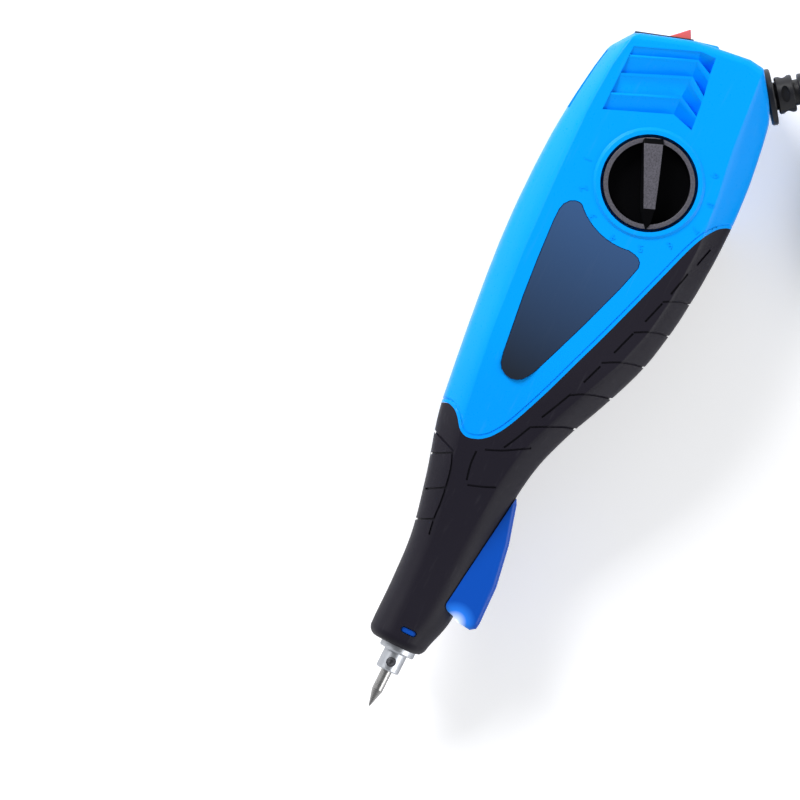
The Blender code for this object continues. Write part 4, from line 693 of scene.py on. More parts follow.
def shell_half(side, node_name):
    """One half of the shell, hollowed to the bosses and ribs of its solid."""
    half = twin(shell, f"{node_name}_half")
    room = body("room", ROOM_INSET, COARSE_STEP)
    carve(room, merged_copy(node_name, "kept"))
    low, high = sorted((side * VENT_WALL_Z, side * CLEAR))
    carve(room, block("vent wall", VENT_WALL, low, high))
    carve(half, room)
    carve(half, half_space(side), "INTERSECT")
    return settle(half, "pen", "blue_shell", BLUE, node_name, smooth=28, flat_sides=True)


shell_half(1, "shell_left")
shell_half(-1, "shell_right")
bpy.data.objects.remove(shell)

# Grips: soft black rubber moulded over the front half and the palm, 1.6 mm thick, with
# grooves between its pads and a small blue window in the nose.
GRIP = finish_of(
    "Soft black rubber", MOULDED, (0.0105, 0.0085, 0.017), bump=0.5, deep=0.00003, Tone=0.3,
    Grain_Scale=2600.0, Roughness=0.42, Rough_Spread=0.14, Scuffs=0.01,
)
set_shader(GRIP, Specular_IOR_Level=0.25)
GROOVES = [
    [(73.5, -0.4), (77.0, -2.2), (81.0, -4.0)], [(84.5, -5.5), (88.5, -7.4), (93.0, -9.4)],
    [(97.0, -11.0), (102.5, -12.9)], [(107.0, -14.5), (113.5, -16.6)],
    [(117.5, -18.0), (123.5, -19.8)], [(126.5, -20.7), (133.0, -22.2)],
    [(136.0, -23.3), (141.0, -24.6)],
    [(81.0, -4.0), (83.0, -7.8), (85.3, -13.0), (86.0, -18)],
    [(92.6, -9.3), (95.0, -13.8), (97.2, -22)], [(103.4, -12.8), (106.2, -18.5), (108.0, -27)],
    [(113.8, -16.6), (116.4, -22.0), (117.8, -30)], [(123.9, -19.7), (126.2, -24.4), (127.0, -31)],
    [(61.0, 3.6), (62.2, 0.2), (63.6, -3.1)], [(62.0, 4.3), (66.0, 5.2), (69.6, 5.4)],
    [(70.9, 3.6), (72.0, 1.0), (73.1, -1.2), (76.4, -6.6)],
    [(55.4, 12.6), (56.7, 10.3), (58.1, 8.1)], [(64.0, 15.3), (65.3, 12.9), (66.6, 10.6)],
    [(53.0, 7.5), (57.0, 8.0), (63.0, 9.2), (66.6, 10.6)],
    [(67.0, 10.4), (68.2, 13.6), (69.6, 17.4)],
    [(47.0, 12.4), (48.4, 9.6), (49.6, 7.3)], [(45.5, 6.6), (49.6, 7.3), (53.0, 7.5)],
]
GROOVE_WIDE = 0.5
GROOVE_DEEP = 0.45
PILL_AT = (21.3, 0.3)
PILL_R = 0.65
PILL_HALF = 1.35


def pill(grow):
    """The outline of the small window in the nose, long across the pen."""
    turns = np.radians(np.linspace(0, 180, 9))
    radius = PILL_R + grow
    x, y = PILL_AT
    upper = [(x + radius * math.cos(a), y + PILL_HALF + radius * math.sin(a)) for a in turns]
    return upper + [(2 * x - a, 2 * y - b) for a, b in upper]


grip = body("grip_half", 0.0, 1.0)
carve(grip, block("keep", seam_outline, -CLEAR, CLEAR), "INTERSECT")
carve(grip, body("inside", GRIP_THICK, COARSE_STEP))
skin = body("skin", GROOVE_DEEP, 1.5)
for points in GROOVES:
    strip = block("groove", ribbon(points, GROOVE_WIDE / 2), -CLEAR, CLEAR)
    carve(strip, twin(skin, "skin copy"))
    carve(grip, strip)
bpy.data.objects.remove(skin)
carve(grip, block("window", pill(GAP), 0, CLEAR))
carve(grip, moved(lathe("grip mouth", [(10, MOUTH_R), (26, MOUTH_R)]), (0, AXIS_Y, 0)))
for x, y in SHELL_SCREWS[:2]:
    carve(grip, post("counterbore", 3.5, -CLEAR, 0, x, y, 32))
for side, node_name in ((1, "grip_left"), (-1, "grip_right")):
    half = twin(grip, f"{node_name}_half")
    carve(half, half_space(side), "INTERSECT")
    settle(half, "pen", "black_grip", GRIP, node_name, flat_sides=True)
bpy.data.objects.remove(grip)
inlay = block("nose_inlay", pill(0), 4.0, 9.0)
carve(inlay, body("inlay skin", GROOVE_DEEP, 1.0), "INTERSECT")
DEEP_BLUE = finish_of(
    "Deep blue plastic", MOULDED, (0.0012, 0.075, 0.47), bump=0.12, Tone=0.08,
    Roughness=0.27, Rough_Spread=0.1, Scuffs=0.01,
)
set_shader(DEEP_BLUE, Specular_IOR_Level=0.25)
settle(round_edges(inlay, 0.12), "pen", "blue_shell", DEEP_BLUE)

# Name plate: a dark glossy plastic plate, left bare. It is set in a shallow seat in the
# left shell, and its rear end is cut out round the dial.
LABEL = finish_of(
    "Dark plate", MOULDED, (0.03, 0.05, 0.095), bump=0.03, Tone=0.1, Roughness=0.14,
    Rough_Spread=0.06, Scuffs=0.004,
)
set_shader(LABEL, Specular_IOR_Level=0.35)
# The plate's colour runs from near black at its front end to a lighter blue towards the dial.
PLATE_RAMP_FROM, PLATE_RAMP_TO = 90.0, 136.0
plate_tree = LABEL.node_tree
plate_place = node(plate_tree, "ShaderNodeTexCoord")
plate_parts = node(plate_tree, "ShaderNodeSeparateXYZ", [("Vector", plate_place.outputs["Object"])])
plate_share = node(
    plate_tree, "ShaderNodeMapRange", [("Value", plate_parts.outputs["X"])],
    From_Min=PEN_AT.x + PLATE_RAMP_FROM * MM, From_Max=PEN_AT.x + PLATE_RAMP_TO * MM,
)
plate_ramp = node(plate_tree, "ShaderNodeValToRGB", [("Fac", plate_share.outputs[0])])
plate_ramp.color_ramp.elements[0].color = (0.013, 0.018, 0.028, 1)
plate_ramp.color_ramp.elements[1].color = (0.038, 0.092, 0.22, 1)
label_effect = [n for n in plate_tree.nodes if n.type == "GROUP"][0]
plate_tree.links.new(plate_ramp.outputs[0], label_effect.inputs["Colour"])
PLATE_LOW, PLATE_HIGH = 18.2, 18.9
PLATE_ROUND = 0.15
plate = block("bare_plate", plate_outline(), PLATE_LOW, PLATE_HIGH)
settle(round_edges(plate, PLATE_ROUND, 2), "pen", "label_gloss", LABEL, "name_plate")

# Stroke dial: moulded dark plastic, a round rim with two sunk dishes and a tapered bar
# that points to the setting. It turns in the shell's pocket on its own stem.
DIAL = finish_of(
    "Grained dark plastic", MOULDED, (0.155, 0.148, 0.185), bump=0.6, deep=0.00005, Tone=1.0,
    Patch_Scale=2600.0, Grain_Scale=2200.0, Roughness=0.42, Rough_Spread=0.1, Scuffs=0.0,
)
# Painted shade on the dial: a near-black material with almost no reflection stands for the shade in
# its sunk dishes, on its steep faces and on the bar's sloped ends.
DIAL_SHADE = finish_of(
    "Dial painted shade", MOULDED, (0.0012, 0.0012, 0.0018), bump=0.1, Tone=0.2,
    Roughness=0.45, Rough_Spread=0.1, Scuffs=0.0,
)
set_shader(DIAL_SHADE, Specular_IOR_Level=0.05)
BAR_TURN = 21.8
BAR_UNSHADED_FROM, BAR_UNSHADED_TO = -6.7, 9.9
SHADE_BELOW_Z = 19.3
BAR_END_Z = 19.55
dial_profile = [
    (15.5, 1.8), (11.6, 1.8), (11.6, 4.0), (13.7, 4.0), (13.7, 11.2), (14.0, 11.5),
    (19.2, 11.6), (19.42, 11.5), (19.5, 11.35), (19.5, 10.5), (19.42, 10.36),
    (19.2, 10.25), (16.0, 10.1), (15.7, 9.8), (15.7, 0.2),
]
dial = lathe_up("stroke_dial_moulding", dial_profile, 96)
BAR = [
    (-11.58, 0.12, 19.6), (-10.6, 0.9, 19.75), (-9.2, 1.35, 19.95), (-7.4, 1.7, 20.25),
    (-6.4, 2.05, 20.5), (-3.0, 2.25, 20.5), (0.0, 2.42, 20.5), (4.0, 2.6, 20.5),
    (8.0, 2.75, 20.5), (9.9, 2.8, 20.45), (10.8, 2.75, 20.0), (11.4, 2.65, 19.3),
]
BAR_FOOT = 14.5
BAR_FLAT_SHARE = 0.50
BAR_FLAT_GROWTH = 0.019
bar_points, bar_faces = [], []
for u, half, top in BAR:
    left = half * (BAR_FLAT_SHARE + BAR_FLAT_GROWTH * u)
    rib = [
        (-half, BAR_FOOT), (-half, top - 0.3), (-half * 0.99, top - 0.1), (-half * 0.95, top),
        (left, top), (left + half * 0.07, top - 0.06), (half * 0.9, top - 0.8),
        (half, BAR_FOOT),
    ]
    bar_points += [(u, v, z) for v, z in rib]
for i in range(len(BAR) - 1):
    for j in range(8):
        k = (j + 1) % 8
        bar_faces.append((i * 8 + j, i * 8 + k, i * 8 + 8 + k, i * 8 + 8 + j))
bar_faces += [tuple(range(8)), tuple(range(len(bar_points) - 8, len(bar_points)))]
bar = moved(drawn_piece("bar", bar_points, bar_faces), turn=BAR_TURN)
carve(dial, bar, "UNION")
moved(dial, (DIAL_X, DIAL_Y, 0))
settle(dial, "dial", "dial_black", DIAL, "stroke_dial")
dial.data.materials.append(DIAL_SHADE)
bar_way = Vector((math.cos(math.radians(BAR_TURN)), math.sin(math.radians(BAR_TURN)), 0))
# Painted shade: faces below the rim's top, every steep face and the bar's sloped ends take the
# near-black material. The rim's top and the middle of the bar's top keep the grained plastic.
for face in dial.data.polygons:
    spot = (face.center - PEN_AT) / MM
    along_bar = (spot - Vector((DIAL_X, DIAL_Y, 0))).dot(bar_way)
    shaded_bar_end = spot.z > BAR_END_Z and not BAR_UNSHADED_FROM < along_bar < BAR_UNSHADED_TO
    if spot.z < SHADE_BELOW_Z or face.normal.z < 0.85 or shaded_bar_end:
        face.material_index = 1

# Numerals: plain figures round the dial, moulded on the left shell in its own plastic.
# They stand barely proud of the flat side.
NUMERAL_R = 16.4
NUMERAL_HIGH = 2.6
NUMERAL_RISE = 0.12
FIRST_NUMERAL = 95
NUMERAL_STEP = 26
for number in range(9):
    turn = math.radians(FIRST_NUMERAL + NUMERAL_STEP * number)
    bpy.ops.object.select_all(action="DESELECT")
    bpy.ops.object.text_add()
    text = bpy.context.object
    text.data.body = str(number + 1)
    text.data.size = NUMERAL_HIGH * MM
    text.data.extrude = NUMERAL_RISE * MM
    text.data.align_x = "CENTER"
    text.data.align_y = "CENTER"
    text.data.resolution_u = 3
    bpy.ops.object.convert(target="MESH")
    figure = bpy.context.object
    figure.name = figure.data.name = f"dial_numeral_{number + 1}"
    x, y = DIAL_X + NUMERAL_R * math.cos(turn), DIAL_Y + NUMERAL_R * math.sin(turn)
    moved(figure, (x, y, SIDE_Z + 0.02), math.degrees(turn) - 90)
    settle(figure, "pen", "blue_shell", BLUE)

# Nose train: a turned aluminium chuck, whose set screw clamps a ground steel tip. The
# chuck sits on the end of the shaft that the magnet drives.
STEEL = finish_of(
    "Ground steel", TURNED, (0.50, 0.49, 0.48), bump=0.12, metallic=1.0, Stain=0.4,
    Roughness=0.2, Rough_Spread=0.16,
)
ALUMINIUM = finish_of(
    "Turned aluminium", TURNED, (0.58, 0.60, 0.64), bump=0.3, metallic=1.0, Stain=0.2,
    Roughness=0.27, Rough_Spread=0.2,
)
IRON = finish_of(
    "Plain iron", TURNED, (0.20, 0.20, 0.22), bump=0.2, metallic=1.0, Stain=0.5,
    Roughness=0.35, Rough_Spread=0.2,
)
CHUCK_FRONT = 10.028
TIP_PROFILE = [(0.0, 0.12), (0.25, 0.24), (4.4, 1.36), (4.7, 1.4), (16.9, 1.4)]
tip = moved(lathe("ground_tip", TIP_PROFILE, 32), (0, AXIS_Y, 0))
settle(tip, "stylus", "steel", STEEL, "engraving_tip")
chuck_profile = [
    (16.9, 1.7), (CHUCK_FRONT, 1.7), (CHUCK_FRONT, 2.75), (CHUCK_FRONT + 0.3, 3.05),
    (15.0, 3.05), (15.23, 3.2), (15.23, 4.4), (15.48, 4.65), (16.98, 4.65), (17.23, 4.4),
    (17.23, 3.4), (20.02, 3.4), (20.02, 2.8), (16.95, 2.8),
]
chuck = moved(lathe("turned_chuck", chuck_profile, 48), (0, AXIS_Y, 0))
SET_SCREW_X = CHUCK_FRONT + 2.4
carve(chuck, post("screw hole", 1.25, 0, 8, SET_SCREW_X, AXIS_Y, 24))
settle(chuck, "stylus", "aluminium", ALUMINIUM, "chuck")
grub = post("socket_screw", 1.1, 1.7, 2.95, SET_SCREW_X, AXIS_Y, 24)
carve(grub, post("socket", 0.62, 2.2, 5, SET_SCREW_X, AXIS_Y, 6))
settle(round_edges(grub, 0.1, 2), "stylus", "iron", IRON, "set_screw")

# Lamp hood: a blue moulding under the nose, shaped to the grips above it. A clear lamp
# stands in a seat in its front end and lights the work.
HOOD = [
    (31.5, -2.6), (30.5, -5.4), (29.9, -7.6), (28.8, -10.2), (28.5, -13.2), (29.5, -14.6),
    (31.1, -14.8), (41.1, -14.5), (52.0, -12.6), (62.0, -9.8), (66.0, -7.7), (62.2, -3.0),
]
HOOD_HALF = 7.2
LAMP_AT = (28.825, -9.804, 0)
LAMP_TURN = 168.0
HOOD_ROUND = 1.3
HOOD_GAP = 0.3
hood = block("hood_moulding", HOOD, -HOOD_HALF, HOOD_HALF)
round_edges(hood, HOOD_ROUND, 5, 50)
carve(hood, body("pen room", -HOOD_GAP))
LAMP_SEAT = [(-9.0, 2.5), (0.6, 2.5), (6, 5.2)]
carve(hood, moved(lathe("lamp seat", LAMP_SEAT), LAMP_AT, LAMP_TURN))
# Painted light: near the lamp, the hood glows through emission. This is a painted pool of the
# lamp's light, palest next to the lens.
GLOW_AT = Vector((28.7, -9.0, 6.5))
GLOW_FAR, GLOW_NEAR = 5.4, 0.6
HOOD_BLUE = DEEP_BLUE.copy()
HOOD_BLUE.name = "Deep blue plastic lit by the lamp"
lit_tree = HOOD_BLUE.node_tree
lit_place = node(lit_tree, "ShaderNodeTexCoord")
lit_far = node(
    lit_tree, "ShaderNodeVectorMath", [("Vector", lit_place.outputs["Object"])],
    operation="DISTANCE",
)
lit_far.inputs[1].default_value = GLOW_AT * MM + PEN_AT
lit_share = node(
    lit_tree, "ShaderNodeMapRange", [("Value", lit_far.outputs["Value"])],
    From_Min=GLOW_FAR * MM, From_Max=GLOW_NEAR * MM,
)
lit = node(lit_tree, "ShaderNodeValToRGB", [("Fac", lit_share.outputs[0])])
lit.color_ramp.elements[0].color = (0, 0, 0, 1)
lit.color_ramp.elements.new(0.5).color = (0.02, 0.14, 0.42, 1)
lit.color_ramp.elements[2].color = (0.8, 0.9, 1, 1)
lit_tree.links.new(lit.outputs[0], lit_tree.nodes["Principled BSDF"].inputs["Emission Color"])
set_shader(HOOD_BLUE, Emission_Strength=1.0)
settle(hood, "pen", "blue_shell", HOOD_BLUE, "lamp_hood")
LENS = finish_of(
    "Clear lamp lens", MOULDED, (0.86, 0.93, 1.0), bump=0.05, Tone=0.03, Patch_Scale=300.0,
    Roughness=0.06, Rough_Spread=0.04, Scuffs=0.0,
)
set_shader(LENS, Emission_Color=(0.85, 0.93, 1.0, 1.0), Emission_Strength=1.6)
LAMP_R = 1.8
LAMP_RIM_R = 2.2
leans = np.radians(range(0, 90, 9))
dome = [(LAMP_R * (math.sin(a) - 1), LAMP_R * math.cos(a)) for a in leans]
lamp_profile = [(-5.3, LAMP_RIM_R), (-4.3, LAMP_RIM_R), (-4.3, LAMP_R), *dome, (0.0, 0.05)]
lamp = moved(lathe("lamp_lens", lamp_profile, 32), LAMP_AT, LAMP_TURN)
settle(lamp, "pen", "lamp_clear", LENS, "lamp")

# Rocker switch: a black nylon case with a bezel, clipped into a hole in the rear face.
# The case is hollow, so that the rocker has room to tip.
NYLON_BLACK = finish_of(
    "Black nylon", MOULDED, (0.012, 0.012, 0.014), bump=0.25, Tone=0.2, Roughness=0.38,
    Rough_Spread=0.1, Scuffs=0.02,
)
BRASS = finish_of(
    "Plated brass", TURNED, (0.72, 0.55, 0.22), bump=0.2, metallic=1.0, Stain=0.3,
    Roughness=0.22, Rough_Spread=0.16,
)
case = beam("switch_case", -11, -0.45, 6.8, 4.6)
carve(case, round_edges(beam("bezel", -0.75, 0.05, 7.5, 5.3), 0.2), "UNION")
carve(case, beam("well", -5.5, 5, 6.1, 3.9))
carve(case, beam("throat", -2.9, 5, 6.5, 3.95))
carve(case, beam("mouth", -2.0, 6, 7.05, 3.98))
settle(moved(case, SWITCH_AT, SWITCH_TURN), "pen", "switch_black", NYLON_BLACK, "rocker_switch")

# Rocker: a glossy red button with a hollow crown, moulded in one piece. It tips on two
# pins inside the case.
RED = finish_of(
    "Red rocker plastic", MOULDED, (0.86, 0.15, 0.14), bump=0.05, Tone=0.08, Roughness=0.16,
    Rough_Spread=0.06, Scuffs=0.02,
)
set_shader(
    RED, Coat_Weight=0.4, Coat_Roughness=0.08, Subsurface_Weight=0.15, Subsurface_Scale=0.002,
)
CROWN_SLOPE = 0.28
CROWN_SOFT = 0.4
CROWN_DROP = 0.55
ROCKER_HALF = 6.75
ROCKER_HALF_WIDE = 3.6
ROCKER_REST_TURN = 11.0
across = np.linspace(-ROCKER_HALF, ROCKER_HALF, 17)
crown = [(math.hypot(CROWN_SLOPE * y, CROWN_SOFT) - CROWN_DROP, y) for y in across]
rocker_outline = crown + [
    (-1.3, 6.7), (-2.0, 5.4), (-3.2, 0.6), (-3.2, -0.6), (-2.0, -5.4), (-1.3, -6.7),
]
rocker = block("red_rocker_button", rocker_outline, -ROCKER_HALF_WIDE, ROCKER_HALF_WIDE)
round_edges(rocker, 0.22, 3, 45)
carve(rocker, post("pins", 0.8, -4.25, 4.25, -1.9, 0, 24), "UNION")
moved(rocker, (-0.1, 0, 0), ROCKER_REST_TURN)
settle(moved(rocker, SWITCH_AT, SWITCH_TURN), "rocker", "red_rocker", RED, "rocker_button")

# Strain relief: black rubber, a round flange on the shell and a row of rings with
# windows between them, so that the cord bends gently where it leaves.
RUBBER = finish_of(
    "Black cord rubber", MOULDED, (0.010, 0.010, 0.013), bump=0.3, Tone=0.25, Roughness=0.26,
    Grain_Scale=1400.0, Rough_Spread=0.14, Scuffs=0.01,
)
relief_profile = [
    (-4.5, 2.8), (-4.5, 4.2), (0.3, 4.2), (0.3, 6.9), (0.6, 7.2), (1.7, 7.2), (2.0, 6.9),
    (2.0, 3.7),
]
RING_COUNT = 6
RING_GAP = 1.3
RINGS_FROM = 2.7
FIRST_RING_R = 4.75
RING_TAPER = 0.95
RELIEF_LONG = 36.0
RING_PITCH = (RELIEF_LONG - RINGS_FROM + RING_GAP) / RING_COUNT
for i in range(RING_COUNT):
    start = RINGS_FROM + RING_PITCH * i
    radius = FIRST_RING_R - RING_TAPER * i / (RING_COUNT - 1)
    end = start + RING_PITCH - RING_GAP
    relief_profile += [
        (start, 3.5), (start, radius - 0.3), (start + 0.3, radius), (end - 0.3, radius),
        (end, radius - 0.3), (end, 3.3), (end + RING_GAP, 3.3),
    ]
relief_profile = relief_profile[:-1] + [(RELIEF_LONG, 2.85), (-4.45, 2.85)]
relief = lathe("ribbed_relief", relief_profile, 48)
for i in range(RING_COUNT):
    middle = RINGS_FROM + RING_PITCH * (i + 0.5) - RING_GAP / 2
    for quarter in range(4):
        window = lathe_up("window", [(3.45, 1.25), (6, 1.25)], 20)
        pick(window)
        bpy.ops.transform.resize(value=(0.9, 1.7, 1))
        bpy.ops.object.transform_apply(location=False, rotation=False, scale=True)
        moved(window, (middle, 0, 0))
        carve(relief, moved(window, turn=90 * quarter + 45 * (i % 2), about="X"))
settle(moved(relief, RELIEF_AT, RELIEF_TURN), "pen", "cord_black", RUBBER, "strain_relief")

# Cord: a 5 mm round mains lead, about 1.5 m long. It leaves the relief, comes down to
# the table and is wound into a flat coil of two layers held by a tie, with the plug at
# its far end.
CORD = finish_of(
    "Cord jacket", MOULDED, (0.013, 0.013, 0.016), bump=0.2, Tone=0.2, Roughness=0.36,
    Grain_Scale=1100.0, Rough_Spread=0.12, Scuffs=0.02,
)
CORD_R = 2.5
CORD_STEP = 4.0
BEZIER_POINTS = 24
COIL_AT = Vector((177.5, -83.5))
COIL_STEPS = 48
COIL_TURNS = 7
COIL_INNER_R = 20.0
TURN_PITCH = 5.6
LAYER_RISE = 5.5
TIE_THICK = 0.5
COIL_LOW = TIE_THICK + 0.3


def smooth_route(points, step):
    """Points along a smooth curve through a route, at an even step."""
    points = [Vector(p) for p in points]
    ways = []
    for i in range(len(points)):
        ways.append((points[min(i + 1, len(points) - 1)] - points[max(i - 1, 0)]).normalized())
    fine = []
    for i in range(len(points) - 1):
        here, there = points[i], points[i + 1]
        reach = (there - here).length / 3
        knots = here, here + ways[i] * reach, there - ways[i + 1] * reach, there
        last = None if i == len(points) - 2 else -1
        fine += interpolate_bezier(*knots, BEZIER_POINTS)[:last]
    gone = np.concatenate([[0], np.cumsum([(b - a).length for a, b in zip(fine, fine[1:])])])
    marks = np.linspace(0, gone[-1], max(2, round(gone[-1] / step)) + 1)
    return np.stack([np.interp(marks, gone, [p[k] for p in fine]) for k in range(3)], 1)


coil = []
steps = COIL_TURNS * COIL_STEPS
for i in range(steps + 1):
    turn = math.radians(-90 - 360 * i / COIL_STEPS)
    inward = min(i, steps - i) / COIL_STEPS
    radius = COIL_INNER_R + TURN_PITCH * (COIL_TURNS / 2 - inward)
    climb = COIL_STEPS // 2
    rise = min(max((i - steps / 2 + climb / 2) / climb, 0), 1)
    rise = rise * rise * (3 - 2 * rise)
    coil.append((
        COIL_AT.x + radius * math.cos(turn), COIL_AT.y + radius * math.sin(turn),
        COIL_LOW + CORD_R + LAYER_RISE * rise + TABLE_Z,
    ))
leaves = math.radians(RELIEF_TURN)
way_out = Vector((math.cos(leaves), math.sin(leaves), 0))
start = Vector(RELIEF_AT) + way_out * (RELIEF_LONG + 0.3)
into = (Vector(coil[1]) - Vector(coil[0])).normalized()
free = [
    (215.5, -65.0, -1.5), (221.3, -77.5, -5.5), (223.6, -91.0, -10.5), (217.5, -108.5, -14.8),
    (203.5, -121.0, -16.3), (191.5, -123.5, -16.5),
]
route = [start, start + way_out * 5, *free, Vector(coil[0]) - into * 5, coil[0]]
run = smooth_route(route, CORD_STEP)
away = (Vector(coil[-1]) - Vector(coil[-2])).normalized()
leave = Vector(coil[-1])
PLUG_HALF_HIGH = 7.5
plug_rear = Vector((132.0, leave.y + 8.6, TABLE_Z + PLUG_HALF_HIGH))
arrive = plug_rear + Vector((0.3, 0, 0))
over = (leave + arrive) / 2
over.z = leave.z + 0.3
route = [leave, leave + away * 10, over, arrive + Vector((5, 0, 0)), arrive]
tail = smooth_route(route, CORD_STEP)
line = [Vector(p) * MM + PEN_AT for p in [*run[:-1], *coil, *tail[1:]]]
cord_curve = bpy.data.curves.new("mains_cord", "CURVE")
cord_curve.dimensions = "3D"
cord_curve.bevel_depth = CORD_R * MM
cord_curve.bevel_resolution = 4
cord_curve.use_fill_caps = True
spline = cord_curve.splines.new("POLY")
spline.points.add(len(line) - 1)
for point, spot in zip(spline.points, line):
    point.co = (*spot, 1)
cord = placed("mains_cord", cord_curve)
cord_curve.materials.append(CORD)
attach(cord, "pen")
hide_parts("cord_run", "cord_coil", "cord_tail")

# Tie: a flat strap of black nylon round the turns of the coil, with its lock on the
# top. It is moulded in one piece.
TIE_HALF_WIDE = 2.5
TIE_NEAR, TIE_FAR = 18.7, 41.5
TIE_TURN = 200
LOCK_FROM, LOCK_TO = 27, 33
LOCK_LOW, LOCK_HIGH = 0.2, 2.6
high = COIL_LOW + 2 * CORD_R + LAYER_RISE + GAP
loop = rectangle(TIE_NEAR - TIE_THICK, TIE_FAR + TIE_THICK, 0, high + TIE_THICK)
band = block("coil_tie", loop, -TIE_HALF_WIDE, TIE_HALF_WIDE, 1.6)
carve(band, block("inside", rectangle(TIE_NEAR, TIE_FAR, TIE_THICK, high), -6, 6, 1.3))
lock_outline = rectangle(LOCK_FROM, LOCK_TO, high + LOCK_LOW, high + LOCK_HIGH)
lock = block("lock", lock_outline, -3.2, 3.2)
carve(band, round_edges(lock, 0.5), "UNION")
moved(band, turn=90, about="X")
moved(band, (COIL_AT.x, COIL_AT.y, TABLE_Z), TIE_TURN)
settle(band, "pen", "switch_black", NYLON_BLACK, "cord_tie")

# Plug: a two-pin plug of black rubber, moulded onto the cord's end, with finger grooves
# on both faces. Its flat brass pins have a hole near their ends.
PLUG_HALF_WIDE = 12.5
PLUG_NECK_HALF = 6.0
plug_y, plug_z = plug_rear.y, plug_rear.z
plug_outline = [
    (90.0, plug_y - PLUG_HALF_WIDE), (112.0, plug_y - PLUG_HALF_WIDE),
    (120.0, plug_y - PLUG_NECK_HALF), (120.0, plug_y + PLUG_NECK_HALF),
    (112.0, plug_y + PLUG_HALF_WIDE), (90.0, plug_y + PLUG_HALF_WIDE),
]
plug_low, plug_high = plug_z - PLUG_HALF_HIGH, plug_z + PLUG_HALF_HIGH
plug = block("moulded_plug", plug_outline, plug_low, plug_high, 2.2)
round_edges(plug, 1.6, 4, 50)
tail_profile = [(118.0, 5.4), (120.5, 5.2), (122.0, 4.3)]
for x in (123.6, 126.8, 130.0):
    tail_profile += [(x, 4.2), (x, 3.4), (x + 1.4, 3.4), (x + 1.4, 4.0)]
tail_profile += [(132.0, 3.9), (132.0, 2.6)]
carve(plug, moved(lathe("plug tail", tail_profile, 32), (0, plug_y, plug_z)), "UNION")
GROOVE_LONG = 1.5
GROOVE_HALF = 9
GROOVE_FLOOR = 6.9
for x in (97.0, 100.5, 104.0, 107.5):
    for way in (-1, 1):
        ridge = rectangle(x, x + GROOVE_LONG, plug_y - GROOVE_HALF, plug_y + GROOVE_HALF)
        low_z, high_z = sorted((plug_z + way * GROOVE_FLOOR, plug_z + way * 9))
        carve(plug, block("ridge", ridge, low_z, high_z, 0.6))
settle(plug, "pen", "cord_black", RUBBER, "plug_body")
PIN_SPREAD = 6.35
PIN_HALF = 3.15
PIN_FRONT, PIN_REAR = 72.2, 89.7
for number, way in ((1, -1), (2, 1)):
    middle = plug_y + way * PIN_SPREAD
    pin_outline = rectangle(PIN_FRONT, PIN_REAR, plug_z - PIN_HALF, plug_z + PIN_HALF)
    pin = block(f"flat_pin_{number}", pin_outline, -0.75, 0.75, 0.9)
    carve(pin, post("pin hole", 1.5, -3, 3, 76.0, plug_z, 24))
    round_edges(pin, 0.25, 2)
    moved(pin, turn=90, about="X")
    settle(moved(pin, (0, middle, 0)), "pen", "brass", BRASS, f"plug_pin_{number}")

# Shell screws: steel pan heads with a cross recess. They are sunk in the right side and
# hold the two halves together.
HEAD_SINK = 2.7
for number, (x, y) in enumerate(SHELL_SCREWS, 1):
    seat = HEAD_SINK - read(HALF_THICKNESS, x)
    head = [
        (seat - 2.0, 1.6), (seat - 1.85, 2.2), (seat - 1.45, 2.7), (seat - 0.9, 2.9),
        (seat, 2.9), (seat, 1.5), (8.0, 1.5),
    ]
    screw = lathe_up(f"cross_screw_{number}", head, 32)
    for turn in (0, 90):
        slot = block("cross", rectangle(-1.5, 1.5, -0.3, 0.3), -CLEAR, seat - 0.8)
        carve(screw, moved(slot, turn=turn + 20 * number))
    moved(screw, (x, y, 0))
    settle(screw, "pen", "steel", STEEL, f"shell_screw_{number}")

# Inner works: the shaft, bush, springs, magnet, follower, cam, lamp board, wires and
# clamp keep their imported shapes, each in its own finish.
BRONZE = finish_of(
    "Sintered bronze", TURNED, (0.48, 0.30, 0.12), bump=0.3, metallic=1.0, Stain=0.4,
    Roughness=0.38, Rough_Spread=0.2,
)
COPPER = finish_of(
    "Enamelled copper wire", TURNED, (0.62, 0.22, 0.08), bump=0.8, deep=0.0001, metallic=1.0,
    Stain=0.3, Mark_Scale=2200.0, Roughness=0.3, Rough_Spread=0.2,
)


def clean_moulding(name, colour, tone, roughness=0.4):
    """A moulded finish that nothing has scuffed."""
    return finish_of(
        name, MOULDED, colour, Tone=tone, Roughness=roughness, Rough_Spread=0.1, Scuffs=0.0,
    )


NYLON = clean_moulding("Natural nylon", (0.80, 0.77, 0.68), 0.08, 0.42)
BOARD = clean_moulding("Lamp board", (0.02, 0.16, 0.06), 0.3)
WIRE_RED = clean_moulding("Red wire cover", (0.50, 0.02, 0.02), 0.15)
WIRE_BLUE = clean_moulding("Blue wire cover", (0.02, 0.06, 0.45), 0.15)
INNER = {
    STEEL: (
        "stylus_shaft", "return_spring", "buffer_spring", "cam_screw", "clamp_screw_1",
        "clamp_screw_2",
    ),
    IRON: ("plunger", "yoke", "pole_piece"),
    BRONZE: ("nose_bush",),
    COPPER: ("coil_winding",),
    NYLON: ("bobbin", "dial_follower", "scroll_cam"),
    BOARD: ("lamp_board",),
    WIRE_RED: ("lead_live", "lead_switched"),
    WIRE_BLUE: ("lead_neutral", "lamp_lead"),
    BRASS: ("switch_tab_1", "switch_tab_2"),
    NYLON_BLACK: ("cord_clamp",),
    CORD: ("cord_end",),
}
for material, names in INNER.items():
    for name in names:
        inner_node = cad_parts[name]
        inner_node.data.materials.clear()
        inner_node.data.materials.append(material)

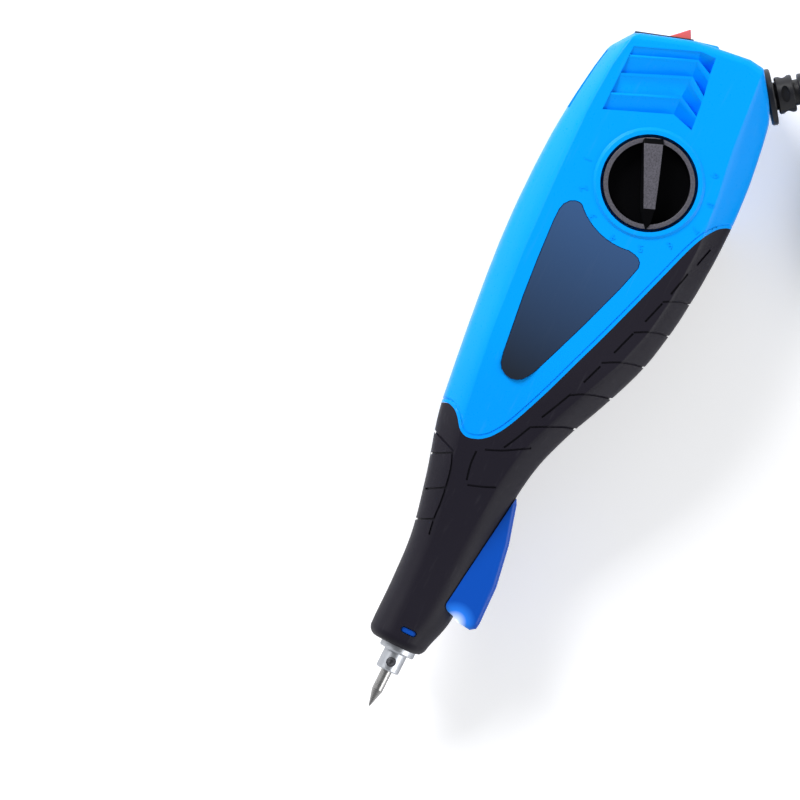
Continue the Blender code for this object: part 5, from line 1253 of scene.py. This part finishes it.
# Camera: straight above the pen, turned so that the tip points down and to the left.
camera_data = bpy.data.cameras.new("Camera")
camera = placed("Camera", camera_data)
camera_data.sensor_width = 36.0
CAMERA_HIGH = 3.0
SEEN_WIDE = 0.20136
SEEN_AT = Vector((-0.0309, 0.0419, PEN_AT.z + 0.007))
PEN_TURN = math.atan2(-0.895026, 0.446013)
camera_data.lens = camera_data.sensor_width * CAMERA_HIGH / SEEN_WIDE
camera.location = SEEN_AT + Vector((0, 0, CAMERA_HIGH))
camera.rotation_euler = (0, 0, PEN_TURN)
bpy.context.scene.camera = camera

# Table and light: a plain pale floor, a broad soft lamp from the finger side, a weaker
# one from the palm side and a pale sky that is dimmer overhead.
floor_data = bpy.data.meshes.new("floor")
floor_corners = [(x, y, 0) for x, y in rectangle(-3, 3, -3, 3)]
floor_data.from_pydata(floor_corners, [], [range(4)])
floor = placed("floor", floor_data)
pale = bpy.data.materials.new("Pale floor")
pale.use_nodes = True
set_shader(pale, Base_Color=(0.86, 0.86, 0.87, 1), Roughness=0.6, Emission_Color=(1, 1, 1, 1))
FLOOR_GLOW = 0.34
pale_tree = pale.node_tree
seen = node(pale_tree, "ShaderNodeLightPath")
glow = node(
    pale_tree, "ShaderNodeMath", [(0, seen.outputs["Is Camera Ray"])], operation="MULTIPLY",
)
glow.inputs[1].default_value = FLOOR_GLOW
pale_shader = pale_tree.nodes["Principled BSDF"]
pale_tree.links.new(glow.outputs[0], pale_shader.inputs["Emission Strength"])
floor_data.materials.append(pale)


LAMPS_AIM = Vector((0.02, 0.0, 0.0))


def soft_lamp(name, place, size, power):
    """A square lamp that points at the pen."""
    data = bpy.data.lights.new(name, "AREA")
    data.size = size
    data.energy = power
    lamp_object = placed(name, data)
    lamp_object.location = place
    way = LAMPS_AIM - Vector(place)
    lamp_object.rotation_euler = way.to_track_quat("-Z", "Y").to_euler()


soft_lamp("Main soft lamp", (0.55, 0.95, 0.72), 0.6, 18.5)
soft_lamp("Second soft lamp", (0.1, -0.95, 0.6), 0.8, 7.0)
world = bpy.data.worlds.new("Pale sky")
bpy.context.scene.world = world
world.use_nodes = True
sky = world.node_tree
sky.nodes["Background"].inputs["Color"].default_value = (0.95, 0.97, 1.0, 1)
sky_way = node(sky, "ShaderNodeTexCoord")
sky_parts = node(sky, "ShaderNodeSeparateXYZ", [("Vector", sky_way.outputs["Generated"])])
sky_light = node(
    sky, "ShaderNodeMapRange", [("Value", sky_parts.outputs["Z"])], To_Min=0.75, To_Max=0.22,
)
sky.links.new(sky_light.outputs[0], sky.nodes["Background"].inputs["Strength"])
bpy.context.scene.view_settings.view_transform = "Standard"
